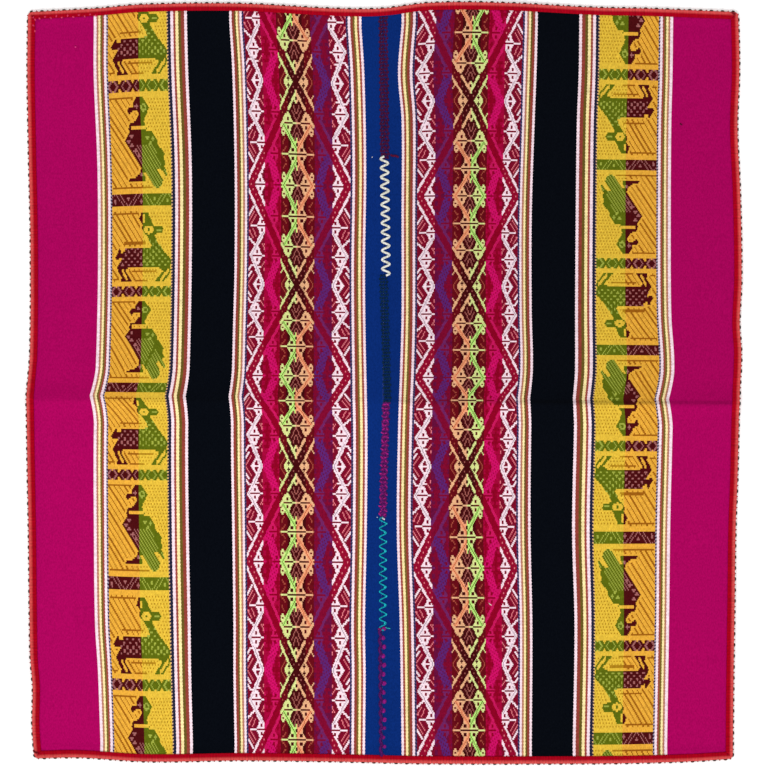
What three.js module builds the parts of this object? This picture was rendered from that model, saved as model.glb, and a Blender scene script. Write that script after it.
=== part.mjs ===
// An altar cloth of two hand-woven panels, sewn edge to edge down the middle, with one woven edging round both.
// Sizes are millimetres. +X is across the stripes, +Y along them, +Z up. The cloth lies on the plane Z = 0.
//
// Each piece is first laid out true and flat, as it comes off the loom. lie() then moves every point to where
// it is in the finished cloth on a table: with uneven edges, a seam that drifts, the ridge that was left where
// the cloth was kept folded, and a few low swells where it doesn't quite touch the table.

import * as THREE from "three";

// The cloth before it is laid down.
const CLOTH_WIDTH = 600;
const CLOTH_LENGTH = 636;
const CORNER_RADIUS = 8;
const SHEET_THICKNESS = 1.2;
const CLEARANCE = 0.38; // straight up, so that 0.3 is left square to the slopes of the folds
const SEAM_CLEARANCE = 0.32;

// The edging is a folded band: two lips with a slot between them that takes the panels' edges.
const EDGING_WIDTH = 7;
const LIP_THICKNESS = 0.9;
const SLOT_END = 1.5;
const ROLL_CHAMFER_IN = 0.9;
const ROLL_CHAMFER_UP = 1.1;
const PANEL_SET_BACK = SLOT_END + CLEARANCE;

// The panels lie on the table and climb into the slot over this distance inside the edging.
const CLIMB_START = 14;
const CLIMB_END = 8;

// The longest steps of the meshes, across and along the cloth.
const COLUMN_STEP = 26;
const ROW_STEP = 22;

// The ridge of the old fold, across the whole cloth. It runs a little downhill to the right.
const FOLD_Y = -14;
const FOLD_TILT = -2;
const FOLD_HALF_WIDTH = 16;
const FOLD_HEIGHT = [
  { x: -300, height: 4.2 },
  { x: -150, height: 3.4 },
  { x: -20, height: 1.4 },
  { x: 130, height: 2.6 },
  { x: 300, height: 3.6 },
];

// How far each side reaches past the true rectangle, and where. Negative is inside it.
const LEFT_SIDE = [
  { y: -318, out: -6 },
  { y: -290, out: -4 },
  { y: -258, out: -4.5 },
  { y: -230, out: -2.5 },
  { y: -125, out: -1 },
  { y: -45, out: 0.4 },
  { y: -12, out: 0.5 },
  { y: 25, out: -2.2 },
  { y: 120, out: -2.6 },
  { y: 200, out: -1 },
  { y: 268, out: 0 },
  { y: 318, out: -0.5 },
];
const RIGHT_SIDE = [
  { y: -318, out: -6.5 },
  { y: -256, out: -6 },
  { y: -190, out: -5.2 },
  { y: -122, out: -4.2 },
  { y: -80, out: -2.6 },
  { y: -14, out: -1 },
  { y: 26, out: 0.7 },
  { y: 53, out: -0.8 },
  { y: 90, out: 0.7 },
  { y: 160, out: -0.2 },
  { y: 220, out: -2.6 },
  { y: 268, out: -1 },
  { y: 318, out: -2 },
];
const TOP_SIDE = [
  { x: -300, out: -6 },
  { x: -242, out: -3 },
  { x: -202, out: 0.4 },
  { x: -121, out: 1.2 },
  { x: -40, out: -3 },
  { x: 0, out: -3 },
  { x: 40, out: 1.8 },
  { x: 101, out: 1.8 },
  { x: 181, out: -2.2 },
  { x: 222, out: -3 },
  { x: 300, out: -6 },
];
const BOTTOM_SIDE = [
  { x: -300, out: -2.2 },
  { x: -262, out: -3 },
  { x: -202, out: 0.4 },
  { x: -121, out: -0.5 },
  { x: -40, out: 0.4 },
  { x: 40, out: 2 },
  { x: 190, out: 2 },
  { x: 260, out: 0.4 },
  { x: 300, out: -2 },
];

// How far the joined edges drift from the middle.
const SEAM_DRIFT = [
  { y: -318, x: -1 },
  { y: -190, x: -1.8 },
  { y: -100, x: -1.8 },
  { y: 0, x: -0.8 },
  { y: 120, x: -0.4 },
  { y: 240, x: -1.6 },
  { y: 318, x: -2.4 },
];

// Low swells, each an oval that rises from the table and comes back to it.
const SWELLS = [
  { x: -268, y: -235, reachX: 70, reachY: 85, height: 2.2 },
  { x: -250, y: 262, reachX: 80, reachY: 55, height: 1.7 },
  { x: -32, y: 262, reachX: 46, reachY: 62, height: 1.6 },
  { x: 12, y: -95, reachX: 34, reachY: 70, height: 1.3 },
  { x: 110, y: 288, reachX: 95, reachY: 44, height: 1.9 },
  { x: 282, y: 100, reachX: 52, reachY: 80, height: 1.8 },
  { x: 270, y: -180, reachX: 62, reachY: 105, height: 2.4 },
  { x: 40, y: -296, reachX: 110, reachY: 40, height: 1.6 },
];

const HALF_WIDTH = CLOTH_WIDTH / 2;
const HALF_LENGTH = CLOTH_LENGTH / 2;
const SLOT_HEIGHT = SHEET_THICKNESS + 2 * CLEARANCE;
const PANEL_LIFT = LIP_THICKNESS + CLEARANCE;
const EDGING_THICKNESS = 2 * LIP_THICKNESS + SLOT_HEIGHT;

// A smooth curve through the rows of a table, read at one place.
function curve(rows, along, value, at) {
  let i = rows.findIndex((row) => row[along] >= at);
  if (i < 1) i = i === 0 ? 1 : rows.length - 1;
  const a = rows[i - 1];
  const b = rows[i];
  const before = rows[i - 2] ?? a;
  const after = rows[i + 1] ?? b;
  const span = b[along] - a[along];
  const slopeA = (b[value] - before[value]) / (b[along] - before[along]);
  const slopeB = (after[value] - a[value]) / (after[along] - a[along]);
  const t = Math.min(1, Math.max(0, (at - a[along]) / span));
  const u = 1 - t;
  return (
    a[value] * u * u * (1 + 2 * t) +
    b[value] * t * t * (3 - 2 * t) +
    span * t * u * (slopeA * u - slopeB * t)
  );
}

function smooth(from, to, at) {
  const t = Math.min(1, Math.max(0, (at - from) / (to - from)));
  return t * t * (3 - 2 * t);
}

// Height of the cloth's underside above the table: the fold's ridge and the swells.
function relief(x, y) {
  const t = Math.min(1, Math.abs(y - FOLD_Y) / FOLD_HALF_WIDTH);
  let height = curve(FOLD_HEIGHT, "x", "height", x) * (1 - t) ** 2;
  for (const swell of SWELLS) {
    const r = ((x - swell.x) / swell.reachX) ** 2 + ((y - swell.y) / swell.reachY) ** 2;
    if (r < 1) height += swell.height * (1 - r) ** 2;
  }
  return height;
}

// Where a point of the flat, true layout is in the cloth on the table.
function lie(x, y, z) {
  const across = x / HALF_WIDTH;
  const along = y / HALF_LENGTH;
  const side = across < 0 ? LEFT_SIDE : RIGHT_SIDE;
  const end = along < 0 ? BOTTOM_SIDE : TOP_SIDE;
  const seam = curve(SEAM_DRIFT, "y", "x", y) * (1 - Math.abs(across));
  const tilt = FOLD_TILT * across * (1 - Math.abs(along));
  return [
    x + seam + across * curve(side, "y", "out", y),
    y + tilt + along * curve(end, "x", "out", x),
    z + relief(x, y),
  ];
}

// Even steps between two places, both included.
function steps(from, to, step) {
  const count = Math.max(1, Math.round(Math.abs(to - from) / step));
  return Array.from({ length: count + 1 }, (_, i) => from + ((to - from) * i) / count);
}

// The places of the mesh's columns from the seam outwards, and of its rows from one end to the other.
// They are close together in the rounded corner, where the panel climbs, and on the fold.
function edgePlaces(half) {
  const corner = half - CORNER_RADIUS;
  const edge = half - PANEL_SET_BACK;
  return [half - CLIMB_START, (half - CLIMB_START + corner) / 2, corner, (corner + edge) / 2, edge];
}

const OUTER_COLUMNS = edgePlaces(HALF_WIDTH);
const COLUMNS = [
  ...steps(SEAM_CLEARANCE / 2, OUTER_COLUMNS[0], COLUMN_STEP).slice(0, -1),
  ...OUTER_COLUMNS,
];
const OUTER_ROWS = edgePlaces(HALF_LENGTH);
const FOLD_SHARES = [-1, -0.62, -0.3, 0, 0.3, 0.62, 1]; // of the ridge's half width, from its crest
const FOLD_ROWS = FOLD_SHARES.map((share) => FOLD_Y + share * FOLD_HALF_WIDTH);
const ROWS = [
  ...OUTER_ROWS.map((y) => -y).reverse(),
  ...steps(-OUTER_ROWS[0], FOLD_ROWS[0], ROW_STEP).slice(1, -1),
  ...FOLD_ROWS,
  ...steps(FOLD_ROWS.at(-1), OUTER_ROWS[0], ROW_STEP).slice(1, -1),
  ...OUTER_ROWS,
];

// A closed mesh from a list of points and a list of quads.
function solid(points, quads) {
  const geometry = new THREE.BufferGeometry();
  geometry.setAttribute("position", new THREE.Float32BufferAttribute(points.flat(), 3));
  geometry.setIndex(quads.flatMap(([a, b, c, d]) => [a, b, c, a, c, d]));
  geometry.computeVertexNormals();
  return geometry;
}

// Turns the square corner of a panel into a quarter circle about the corner's centre.
function roundCorner(x, y) {
  const a = Math.abs(x) - (HALF_WIDTH - CORNER_RADIUS);
  const b = Math.abs(y) - (HALF_LENGTH - CORNER_RADIUS);
  if (a <= 0 || b <= 0) return [x, y];
  const k = Math.max(a, b) / Math.hypot(a, b);
  return [x - Math.sign(x) * a * (1 - k), y - Math.sign(y) * b * (1 - k)];
}

// One woven panel: side -1 is left of the seam, 1 is right of it.
function panel(side) {
  const columns = side < 0 ? COLUMNS.map((x) => -x).reverse() : COLUMNS;
  const points = [];
  for (const level of [0, SHEET_THICKNESS]) {
    for (const y of ROWS) {
      for (const x of columns) {
        const inFromEdge = Math.min(HALF_WIDTH - Math.abs(x), HALF_LENGTH - Math.abs(y));
        const climb = PANEL_LIFT * (1 - smooth(CLIMB_END, CLIMB_START, inFromEdge));
        points.push(lie(...roundCorner(x, y), level + climb));
      }
    }
  }
  const across = columns.length;
  const along = ROWS.length;
  const at = (row, column, top) => (top * along + row) * across + column;
  const quads = [];
  for (let r = 0; r < along - 1; r++) {
    for (let c = 0; c < across - 1; c++) {
      quads.push([at(r, c, 1), at(r, c + 1, 1), at(r + 1, c + 1, 1), at(r + 1, c, 1)]);
      quads.push([at(r, c, 0), at(r + 1, c, 0), at(r + 1, c + 1, 0), at(r, c + 1, 0)]);
    }
    const last = across - 1;
    quads.push([at(r, 0, 0), at(r, 0, 1), at(r + 1, 0, 1), at(r + 1, 0, 0)]);
    quads.push([at(r, last, 0), at(r + 1, last, 0), at(r + 1, last, 1), at(r, last, 1)]);
  }
  for (let c = 0; c < across - 1; c++) {
    const last = along - 1;
    quads.push([at(0, c, 0), at(0, c + 1, 0), at(0, c + 1, 1), at(0, c, 1)]);
    quads.push([at(last, c, 0), at(last, c, 1), at(last, c + 1, 1), at(last, c + 1, 0)]);
  }
  return solid(points, quads);
}

// The path of the edging's outer edge, anticlockwise from above, as places with a way in towards the cloth.
// Its steps are the panels' own columns and rows, so that the slot follows the panel's edge everywhere.
function edgingPath() {
  const sideRows = ROWS.slice(2, -2);
  const endColumns = [...COLUMNS.slice(1, -2).map((x) => -x).reverse(), 0, ...COLUMNS.slice(1, -2)];
  const corners = [
    { x: 1, y: -1, start: -Math.PI / 2 },
    { x: 1, y: 1, start: 0 },
    { x: -1, y: 1, start: Math.PI / 2 },
    { x: -1, y: -1, start: Math.PI },
  ];
  const turns = [Math.atan(0.5), Math.PI / 4, Math.atan(2)];
  const arc = (corner) =>
    turns.map((turn) => {
      const out = [Math.cos(corner.start + turn), Math.sin(corner.start + turn)];
      return {
        x: corner.x * (HALF_WIDTH - CORNER_RADIUS) + CORNER_RADIUS * out[0],
        y: corner.y * (HALF_LENGTH - CORNER_RADIUS) + CORNER_RADIUS * out[1],
        inX: -out[0],
        inY: -out[1],
      };
    });
  return [
    ...endColumns.map((x) => ({ x, y: -HALF_LENGTH, inX: 0, inY: 1 })),
    ...arc(corners[0]),
    ...sideRows.map((y) => ({ x: HALF_WIDTH, y, inX: -1, inY: 0 })),
    ...arc(corners[1]),
    ...endColumns.map((x) => ({ x: -x, y: HALF_LENGTH, inX: 0, inY: -1 })),
    ...arc(corners[2]),
    ...[...sideRows].reverse().map((y) => ({ x: -HALF_WIDTH, y, inX: 1, inY: 0 })),
    ...arc(corners[3]),
  ];
}

// The edging's section, from the outer edge inwards: a rounded outer roll, and two lips round the slot.
function edgingSection() {
  const slotTop = LIP_THICKNESS + SLOT_HEIGHT;
  return [
    { in: 0, up: ROLL_CHAMFER_UP },
    { in: ROLL_CHAMFER_IN, up: 0 },
    { in: EDGING_WIDTH, up: 0 },
    { in: EDGING_WIDTH, up: LIP_THICKNESS },
    { in: SLOT_END, up: LIP_THICKNESS },
    { in: SLOT_END, up: slotTop },
    { in: EDGING_WIDTH, up: slotTop },
    { in: EDGING_WIDTH, up: EDGING_THICKNESS },
    { in: ROLL_CHAMFER_IN, up: EDGING_THICKNESS },
    { in: 0, up: EDGING_THICKNESS - ROLL_CHAMFER_UP },
  ];
}

// One closed ring: the section carried round the whole cloth.
function edging() {
  const path = edgingPath();
  const section = edgingSection();
  const points = path.flatMap((place) =>
    section.map((corner) =>
      lie(place.x + corner.in * place.inX, place.y + corner.in * place.inY, corner.up),
    ),
  );
  const at = (station, corner) =>
    (station % path.length) * section.length + (corner % section.length);
  const quads = [];
  path.forEach((_, s) => {
    section.forEach((__, c) => {
      quads.push([at(s, c), at(s, c + 1), at(s + 1, c + 1), at(s + 1, c)]);
    });
  });
  return solid(points, quads);
}

function piece(name, geometry, colour, roughness) {
  const material = new THREE.MeshStandardMaterial({ color: colour, roughness, metalness: 0 });
  const mesh = new THREE.Mesh(geometry, material);
  mesh.name = name;
  return mesh;
}

const altarCloth = new THREE.Group();
altarCloth.add(piece("panel_left", panel(-1), "#a3103f", 0.95));
altarCloth.add(piece("panel_right", panel(1), "#9c0f4a", 0.95));
altarCloth.add(piece("edging", edging(), "#c4202a", 0.9));

export default altarCloth;
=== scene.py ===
# %% [markdown]
# # A flat altar cloth of two woven panels
# The real cloth is two warp-faced wool panels, woven by hand with coloured stripes and figured bands. They
# are sewn edge to edge down the middle, and a narrow red band is folded over the edge all round. The packed
# model gives the size and the place of each piece, so it is loaded first.

# %% The frame
import math

import bpy
import numpy as np
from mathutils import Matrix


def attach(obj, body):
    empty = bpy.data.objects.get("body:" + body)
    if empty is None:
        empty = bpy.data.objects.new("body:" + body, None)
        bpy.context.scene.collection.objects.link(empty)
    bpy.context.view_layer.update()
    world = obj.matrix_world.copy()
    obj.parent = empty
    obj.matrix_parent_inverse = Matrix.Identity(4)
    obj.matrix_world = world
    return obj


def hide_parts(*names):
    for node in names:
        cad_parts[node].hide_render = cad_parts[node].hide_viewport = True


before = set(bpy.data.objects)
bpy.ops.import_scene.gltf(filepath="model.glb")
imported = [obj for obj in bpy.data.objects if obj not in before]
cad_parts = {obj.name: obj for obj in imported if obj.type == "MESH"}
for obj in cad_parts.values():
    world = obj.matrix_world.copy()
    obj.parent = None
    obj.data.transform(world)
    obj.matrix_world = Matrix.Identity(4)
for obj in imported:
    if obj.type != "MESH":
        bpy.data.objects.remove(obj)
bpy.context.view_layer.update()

MM = 0.001
print("pieces in the frame:", sorted(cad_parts))

# %% [markdown]
# ## Stage, light and camera
# The cloth was photographed from straight above on plain white. A lens with a long focus, placed high up,
# keeps the sides of a flat thing straight, so the cloth fills the frame without leaning. An even white sky
# gives most of the light, because a sky alone shows wool colours as they are, and one soft lamp from the near
# side adds the little shade that shows the fold.

# %% Stage, light and camera
FRAME_WIDTH = 645.1 * MM
CAMERA_HEIGHT = 3.0
CAMERA_Y = -0.84 * MM
SENSOR = 36.0
SKY_STRENGTH = 0.86
LAMP_STRENGTH = 1.15
LAMP_TILT = math.radians(38)
LAMP_TURN = math.radians(-12)
LAMP_SOFTNESS = math.radians(25)
FLOOR_DROP = 0.25 * MM
FLOOR_REACH = 5.0
FLOOR_GLOW = 0.15
FLOOR_COLOUR = (0.92, 0.92, 0.92)

scene = bpy.context.scene
scene.view_settings.view_transform = "Standard"
camera = bpy.data.objects.new("camera", bpy.data.cameras.new("camera"))
camera.data.sensor_width = SENSOR
camera.data.lens = SENSOR * CAMERA_HEIGHT / FRAME_WIDTH
camera.data.clip_end = 50
camera.location = (0, CAMERA_Y, CAMERA_HEIGHT)
scene.collection.objects.link(camera)
scene.camera = camera

world = bpy.data.worlds.new("sky")
world.use_nodes = True
sky = world.node_tree.nodes["Background"]
sky.inputs["Color"].default_value = (1, 1, 1, 1)
sky.inputs["Strength"].default_value = SKY_STRENGTH
scene.world = world

lamp = bpy.data.objects.new("soft_lamp", bpy.data.lights.new("soft_lamp", "SUN"))
lamp.data.energy = LAMP_STRENGTH
lamp.data.angle = LAMP_SOFTNESS
lamp.rotation_euler = (LAMP_TILT, 0, LAMP_TURN)
scene.collection.objects.link(lamp)

floor_mesh = bpy.data.meshes.new("floor")
corners = [(x * FLOOR_REACH, y * FLOOR_REACH, -FLOOR_DROP)
           for x, y in ((-1, -1), (1, -1), (1, 1), (-1, 1))]
floor_mesh.from_pydata(corners, [], [(0, 1, 2, 3)])
floor = bpy.data.objects.new("floor", floor_mesh)
scene.collection.objects.link(floor)
floor_paint = bpy.data.materials.new("pale_floor")
floor_paint.use_nodes = True
floor_shader = floor_paint.node_tree.nodes["Principled BSDF"]
for label, value in (("Base Color", (*FLOOR_COLOUR, 1)), ("Roughness", 1.0), ("Specular IOR Level", 0.0),
                     ("Emission Color", (1, 1, 1, 1)), ("Emission Strength", FLOOR_GLOW)):
    floor_shader.inputs[label].default_value = value
floor_mesh.materials.append(floor_paint)
print("lens", round(camera.data.lens, 1), "mm")

# %% [markdown]
# ## How the cloth lies
# Nothing woven by hand is straight: the sides swing in and out by a few millimetres, the join drifts, one
# fold crosses the whole cloth, and low swells stay where it doesn't touch the table. The sizes of the
# outline, the fold and the swells are the ones that the solids were made from. Every piece is laid out flat
# and true first and then goes through one function, so the weave, the edging and the stitches all stay on the
# same surface.

# %% Outline and relief
PANEL_REACH_X = 298.2
HALF_WIDTH = 300.0
HALF_LENGTH = 318.0
CORNER_RADIUS = 4.0
SHEET = 1.2
PANEL_LIFT = 1.2
CLIMB_START = 14.0
CLIMB_END = 8.0
FOLD_Y = -14.0
FOLD_TILT = -2.0
FOLD_HALF_WIDTH = 16.0
FOLD_SOFTNESS = 1.6
# Rows of x and height.
FOLD_HEIGHT = ((-300, 4.2), (-150, 3.4), (-20, 1.4), (130, 2.6), (300, 3.6))
# Rows of y and the distance outwards.
LEFT_SIDE = ((-318, -6), (-290, -4), (-258, -4.5), (-230, -2.5), (-125, -1), (-45, 0.4), (-12, 0.5),
             (25, -2.2), (120, -2.6), (200, -1), (268, 0), (318, -0.5))
RIGHT_SIDE = ((-318, -6.5), (-256, -6), (-190, -5.2), (-122, -4.2), (-80, -2.6), (-14, -1), (26, 0.7),
              (53, -0.8), (90, 0.7), (160, -0.2), (220, -2.6), (268, -1), (318, -2))
# Rows of x and the distance outwards.
TOP_SIDE = ((-300, -6), (-242, -3), (-202, 0.4), (-121, 1.2), (-40, -3), (0, -3), (40, 1.8), (101, 1.8),
            (181, -2.2), (222, -3), (300, -6))
BOTTOM_SIDE = ((-300, -2.2), (-262, -3), (-202, 0.4), (-121, -0.5), (-40, 0.4), (40, 2), (190, 2),
               (260, 0.4), (300, -2))
# Rows of y and x.
SEAM_DRIFT = ((-318, -1), (-190, -1.8), (-100, -1.8), (0, -0.8), (120, -0.4), (240, -1.6), (318, -2.4))
# Rows of x, y, reach along x, reach along y and height.
SWELLS = (
    (-268, -235, 70, 85, 2.2), (-250, 262, 80, 55, 1.7), (-32, 262, 46, 62, 1.6), (12, -95, 34, 70, 1.3),
    (110, 288, 95, 44, 1.9), (19, 288, 10, 32, 1.5), (282, 100, 52, 80, 1.8), (270, -180, 62, 105, 2.4),
    (40, -296, 110, 40, 1.6),
)


def curve(rows, at):
    """A smooth line through rows of (along, value), held at its ends."""
    x, y = np.array(rows, float).T
    slope = np.empty_like(y)
    slope[1:-1] = (y[2:] - y[:-2]) / (x[2:] - x[:-2])
    slope[0] = (y[1] - y[0]) / (x[1] - x[0])
    slope[-1] = (y[-1] - y[-2]) / (x[-1] - x[-2])
    b = np.clip(np.searchsorted(x, at), 1, len(x) - 1)
    a = b - 1
    span = x[b] - x[a]
    t = np.clip((at - x[a]) / span, 0, 1)
    u = 1 - t
    ease = y[a] * u * u * (1 + 2 * t) + y[b] * t * t * (3 - 2 * t)
    return ease + span * t * u * (slope[a] * u - slope[b] * t)


def relief(x, y):
    """Height of the fold and the swells above the table."""
    away = np.sqrt((y - FOLD_Y) ** 2 + FOLD_SOFTNESS**2) - 0.5 * FOLD_SOFTNESS
    t = np.minimum(1, away / FOLD_HALF_WIDTH)
    height = curve(FOLD_HEIGHT, x) * (1 - t) ** 2
    for swell_x, swell_y, reach_x, reach_y, rise in SWELLS:
        r = ((x - swell_x) / reach_x) ** 2 + ((y - swell_y) / reach_y) ** 2
        height = height + rise * np.clip(1 - r, 0, None) ** 2
    return height


def lie(x, y, z):
    """Moves points of the true, flat cloth to where they lie. Millimetres in, an array of metres out."""
    x, y, z = np.broadcast_arrays(*(np.asarray(v, float) for v in (x, y, z)))
    across = x / HALF_WIDTH
    along = y / HALF_LENGTH
    side = np.where(across < 0, curve(LEFT_SIDE, y), curve(RIGHT_SIDE, y))
    end = np.where(along < 0, curve(BOTTOM_SIDE, x), curve(TOP_SIDE, x))
    seam = curve(SEAM_DRIFT, y) * (1 - np.abs(across))
    tilt = FOLD_TILT * across * (1 - np.abs(along))
    return np.stack([x + seam + across * side, y + tilt + along * end, z + relief(x, y)], -1) * MM


def panel_floor(x, y):
    """Height of a panel's underside: it climbs off the table into the slot of the edging."""
    inside = np.minimum(HALF_WIDTH - np.abs(x), HALF_LENGTH - np.abs(y))
    t = np.clip((inside - CLIMB_END) / (CLIMB_START - CLIMB_END), 0, 1)
    return PANEL_LIFT * (1 - t * t * (3 - 2 * t))


print("height of the fold at the left side:", round(float(relief(-290.0, FOLD_Y)), 2), "mm")

# %% [markdown]
# ## Yarns
# Each yarn is one dyed wool, and the colours are given as they look in daylight. A blend file works in linear
# light, so they are converted once here. A real black or white reflects neither nothing nor everything, and a
# small allowance keeps the white yarn below pure white under the lamp.

# %% Yarn colours
BRIGHTEST = 0.9
YARNS = {
    "magenta": (170, 1, 90),
    "black": (3, 6, 14),
    "blue": (6, 42, 114),
    "white": (248, 222, 232),
    "cream": (252, 232, 168),
    "olive": (118, 98, 40),
    "dark olive": (104, 86, 32),
    "dusty": (184, 122, 100),
    "brick": (158, 72, 62),
    "red brown": (146, 62, 52),
    "navy": (44, 36, 70),
    "tan": (226, 182, 128),
    "gold": (232, 170, 58),
    "deep gold": (156, 92, 16),
    "lemon": (228, 188, 60),
    "deep lemon": (174, 128, 24),
    "pale green": (158, 168, 66),
    "maroon": (74, 10, 14),
    "green": (92, 104, 14),
    "crimson": (163, 4, 56),
    "wine": (122, 8, 38),
    "dark maroon": (66, 8, 12),
    "pink": (204, 14, 100),
    "leaf": (186, 232, 122),
    "peach": (238, 158, 116),
    "purple": (90, 34, 110),
    "rose": (226, 120, 130),
    "grey": (176, 160, 172),
    "moss": (96, 118, 40),
    "rust": (196, 104, 66),
    "garnet": (100, 8, 20),
    "dark crimson": (140, 0, 34),
    "ruby": (146, 8, 44),
    "hot pink": (198, 22, 90),
    "damson": (102, 12, 58),
    "plum": (108, 34, 94),
    "apricot": (230, 174, 130),
    "pistachio": (214, 222, 142),
    "clay": (160, 72, 56),
    "mauve": (160, 98, 96),
    "umber": (160, 90, 82),
    "lilac": (160, 150, 168),
    "slate": (72, 66, 112),
    "deep navy": (34, 34, 58),
    "mulberry": (124, 6, 44),
}


def linear(colour):
    """Linear light of a screen colour given as 0 to 255."""
    c = np.asarray(colour, float) / 255
    return BRIGHTEST * np.where(c <= 0.04045, c / 12.92, ((c + 0.055) / 1.055) ** 2.4)


YARN_NAMES = list(YARNS)
YARN_LIGHT = np.array([linear(YARNS[name]) for name in YARN_NAMES])


def yarn(name):
    """The number by which a chart calls a yarn."""
    return YARN_NAMES.index(name)


print(len(YARN_NAMES), "yarns")

# %% [markdown]
# ## The warp: stripes from the selvedge to the join
# A warp-faced cloth shows only its warp, so a stripe is simply a run of coloured ends. Both panels share one
# warping order, because the right one is the left one turned half round. The table gives each stripe's width.
# The two figured bands get one column for each end, since their pattern changes from end to end. A plain
# stripe needs only a column or two.

# %% Stripes
# For each section, rows of stripe, width in mm, columns and ends. A section ends at one of the measured
# stripe edges.
STRIPES = {
    "magenta": (("magenta", 6.2, 1, 7), ("magenta", 6.0, 3, 7), ("magenta", 45.0, 3, 54)),
    "figures": (
        ("white", 2.3, 1, 2), ("dusty", 1.6, 1, 2), ("cream", 1.7, 1, 2), ("olive", 1.5, 1, 2),
        ("brick", 1.5, 1, 2), ("white", 2.0, 1, 2), ("navy", 1.3, 1, 2), ("animals", 49.6, 60, 60),
        ("tan", 1.0, 1, 1), ("deep navy", 2.2, 1, 2), ("white", 2.4, 1, 3), ("brick", 1.8, 1, 2),
        ("cream", 2.4, 1, 3), ("dark olive", 2.3, 1, 3), ("red brown", 2.8, 1, 4), ("white", 2.3, 1, 2),
    ),
    "black": (("black", 34.5, 2, 42),),
    "lattice": (
        ("white", 1.95, 1, 2), ("red brown", 2.1, 1, 2), ("dark olive", 1.3, 1, 2), ("cream", 1.6, 1, 2),
        ("dusty", 1.6, 1, 2), ("white", 1.8, 1, 2), ("navy", 1.5, 1, 2), ("lattice", 41.0, 51, 51),
        ("lattice", 45.0, 51, 51), ("navy", 1.7, 1, 2), ("white", 2.1, 1, 2), ("red brown", 2.2, 1, 3),
        ("olive", 1.5, 1, 2), ("cream", 2.0, 1, 2), ("brick", 1.7, 1, 2), ("white", 2.0, 1, 2),
    ),
    "blue": (("blue", 15.0, 1, 18),),
}
# Rows of y, then where the magenta ends, the black begins, the black ends and the blue begins.
LEFT_STRIPES = (
    (302, -243.6, -165.5, -129.9, -19), (261, -243.6, -164.5, -127.4, -16.5),
    (181, -240.6, -161.5, -125.4, -15), (100, -240.1, -161.5, -125.4, -16),
    (39, -241.1, -162.5, -126.9, -15.5), (-41, -243.6, -164.5, -128.4, -14),
    (-122, -243.6, -164, -127.4, -14.5), (-202, -242.6, -162.5, -126.4, -16),
    (-243, -240.1, -162, -126.4, -15.5), (-303, -238.1, -160.5, -125.4, -16),
)
RIGHT_STRIPES = (
    (302, 242.7, 164, 129, 14.8), (261, 242.2, 163.5, 128, 11.8), (221, 241.2, 162, 126.5, 14.8),
    (140, 240.7, 161, 124, 14.8), (60, 241.2, 160.5, 124, 14.8), (19, 243.7, 160.5, 125, 13.8),
    (-41, 242.2, 159.5, 123.5, 11.8), (-122, 240.2, 158, 123, 10.8), (-202, 239.2, 160, 124.5, 13.3),
    (-303, 237.7, 158.5, 124, 14.8),
)
# How far the fold has pulled the four stripe edges to the left, and how far up and down that shows.
LEFT_PULL = (4.0, 2.5, 2.3, 0.0)
RIGHT_PULL = (4.2, 1.6, 1.8, 0.0)
PULL_Y = -12.0
PULL_REACH = 24.0
SEAM_EDGE = 0.03

column_section, column_share, column_ends, column_stripe = [], [], [], []
for section, rows in enumerate(STRIPES.values()):
    whole = sum(width for _, width, _, _ in rows)
    start = 0.0
    for stripe, width, columns, ends in rows:
        for k in range(columns):
            column_section.append(section)
            column_share.append((start + width * k / columns) / whole)
            column_ends.append(ends / columns)
            column_stripe.append(stripe)
        start += width
COLUMNS = len(column_stripe)
column_section = np.array(column_section + [len(STRIPES) - 1])
column_share = np.array(column_share + [1.0])
end_number = np.concatenate([[0], np.cumsum(column_ends)])
column_stripe = np.array(column_stripe)
print(COLUMNS, "columns stand for", int(end_number[-1]), "ends")

# %% [markdown]
# ## The weft: picks
# The weaver beats each pick down by hand, so the picks lie closer together in some places than in others. The
# table says how far down the panel certain picks lie, and a smooth curve places the others. Repeats are
# counted in picks, as on the loom, and then stretch and shrink with the beat.

# %% Picks
# Rows of pick and y. The left panel is counted from the top, and the right one from the bottom.
LEFT_BEAT = (
    (0, 316.2), (19, 289.4), (43, 254.4), (67, 219.6), (85, 193.4), (103, 167), (121, 140.8), (139, 115.2),
    (163, 82.9), (187, 52.9), (205, 31.1), (223, 6.2), (241, -14.8), (259, -35.7), (283, -69.7),
    (307, -100.3), (325, -124.6), (343, -149.7), (361, -177.4), (379, -204.3), (403, -240.3), (427, -273.9),
    (445, -299), (457, -316.2),
)
RIGHT_BEAT = (
    (0, -316.2), (18, -290.2), (36, -264.9), (60, -235.1), (84, -203.9), (102, -179.6), (120, -154.8),
    (138, -129.1), (156, -102.6), (180, -70.2), (204, -39.1), (222, -14.6), (240, 4.3), (258, 27.3),
    (276, 49.5), (300, 80.2), (324, 110.3), (342, 132.6), (360, 155.6), (378, 178.3), (396, 201.4),
    (420, 234.9), (444, 266), (462, 291.5), (479, 316.2),
)
LATTICE_REPEAT = 120
LEFT_FIRST_CROSSING = 43
RIGHT_FIRST_CROSSING = 60


def stripe_edges(y, table, pull, way):
    """Flat x of the selvedge, the four measured stripe edges and the join, for each pick line."""
    table = np.array(table[::-1], float)
    seam = curve(SEAM_DRIFT, y)
    side = curve(LEFT_SIDE, y) if way < 0 else curve(RIGHT_SIDE, y)
    stretch = 1 + (side - way * seam) / HALF_WIDTH
    edges = [np.full_like(y, way * PANEL_REACH_X)]
    dip = np.clip(1 - np.abs(y - PULL_Y) / PULL_REACH, 0, None) ** 1.5
    for k, shift in enumerate(pull):
        lies_at = curve(table[:, [0, k + 1]], y) - shift * dip
        edges.append((lies_at - seam) / stretch)
    edges.append(np.full_like(y, way * SEAM_EDGE))
    return np.stack(edges, -1)


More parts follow.
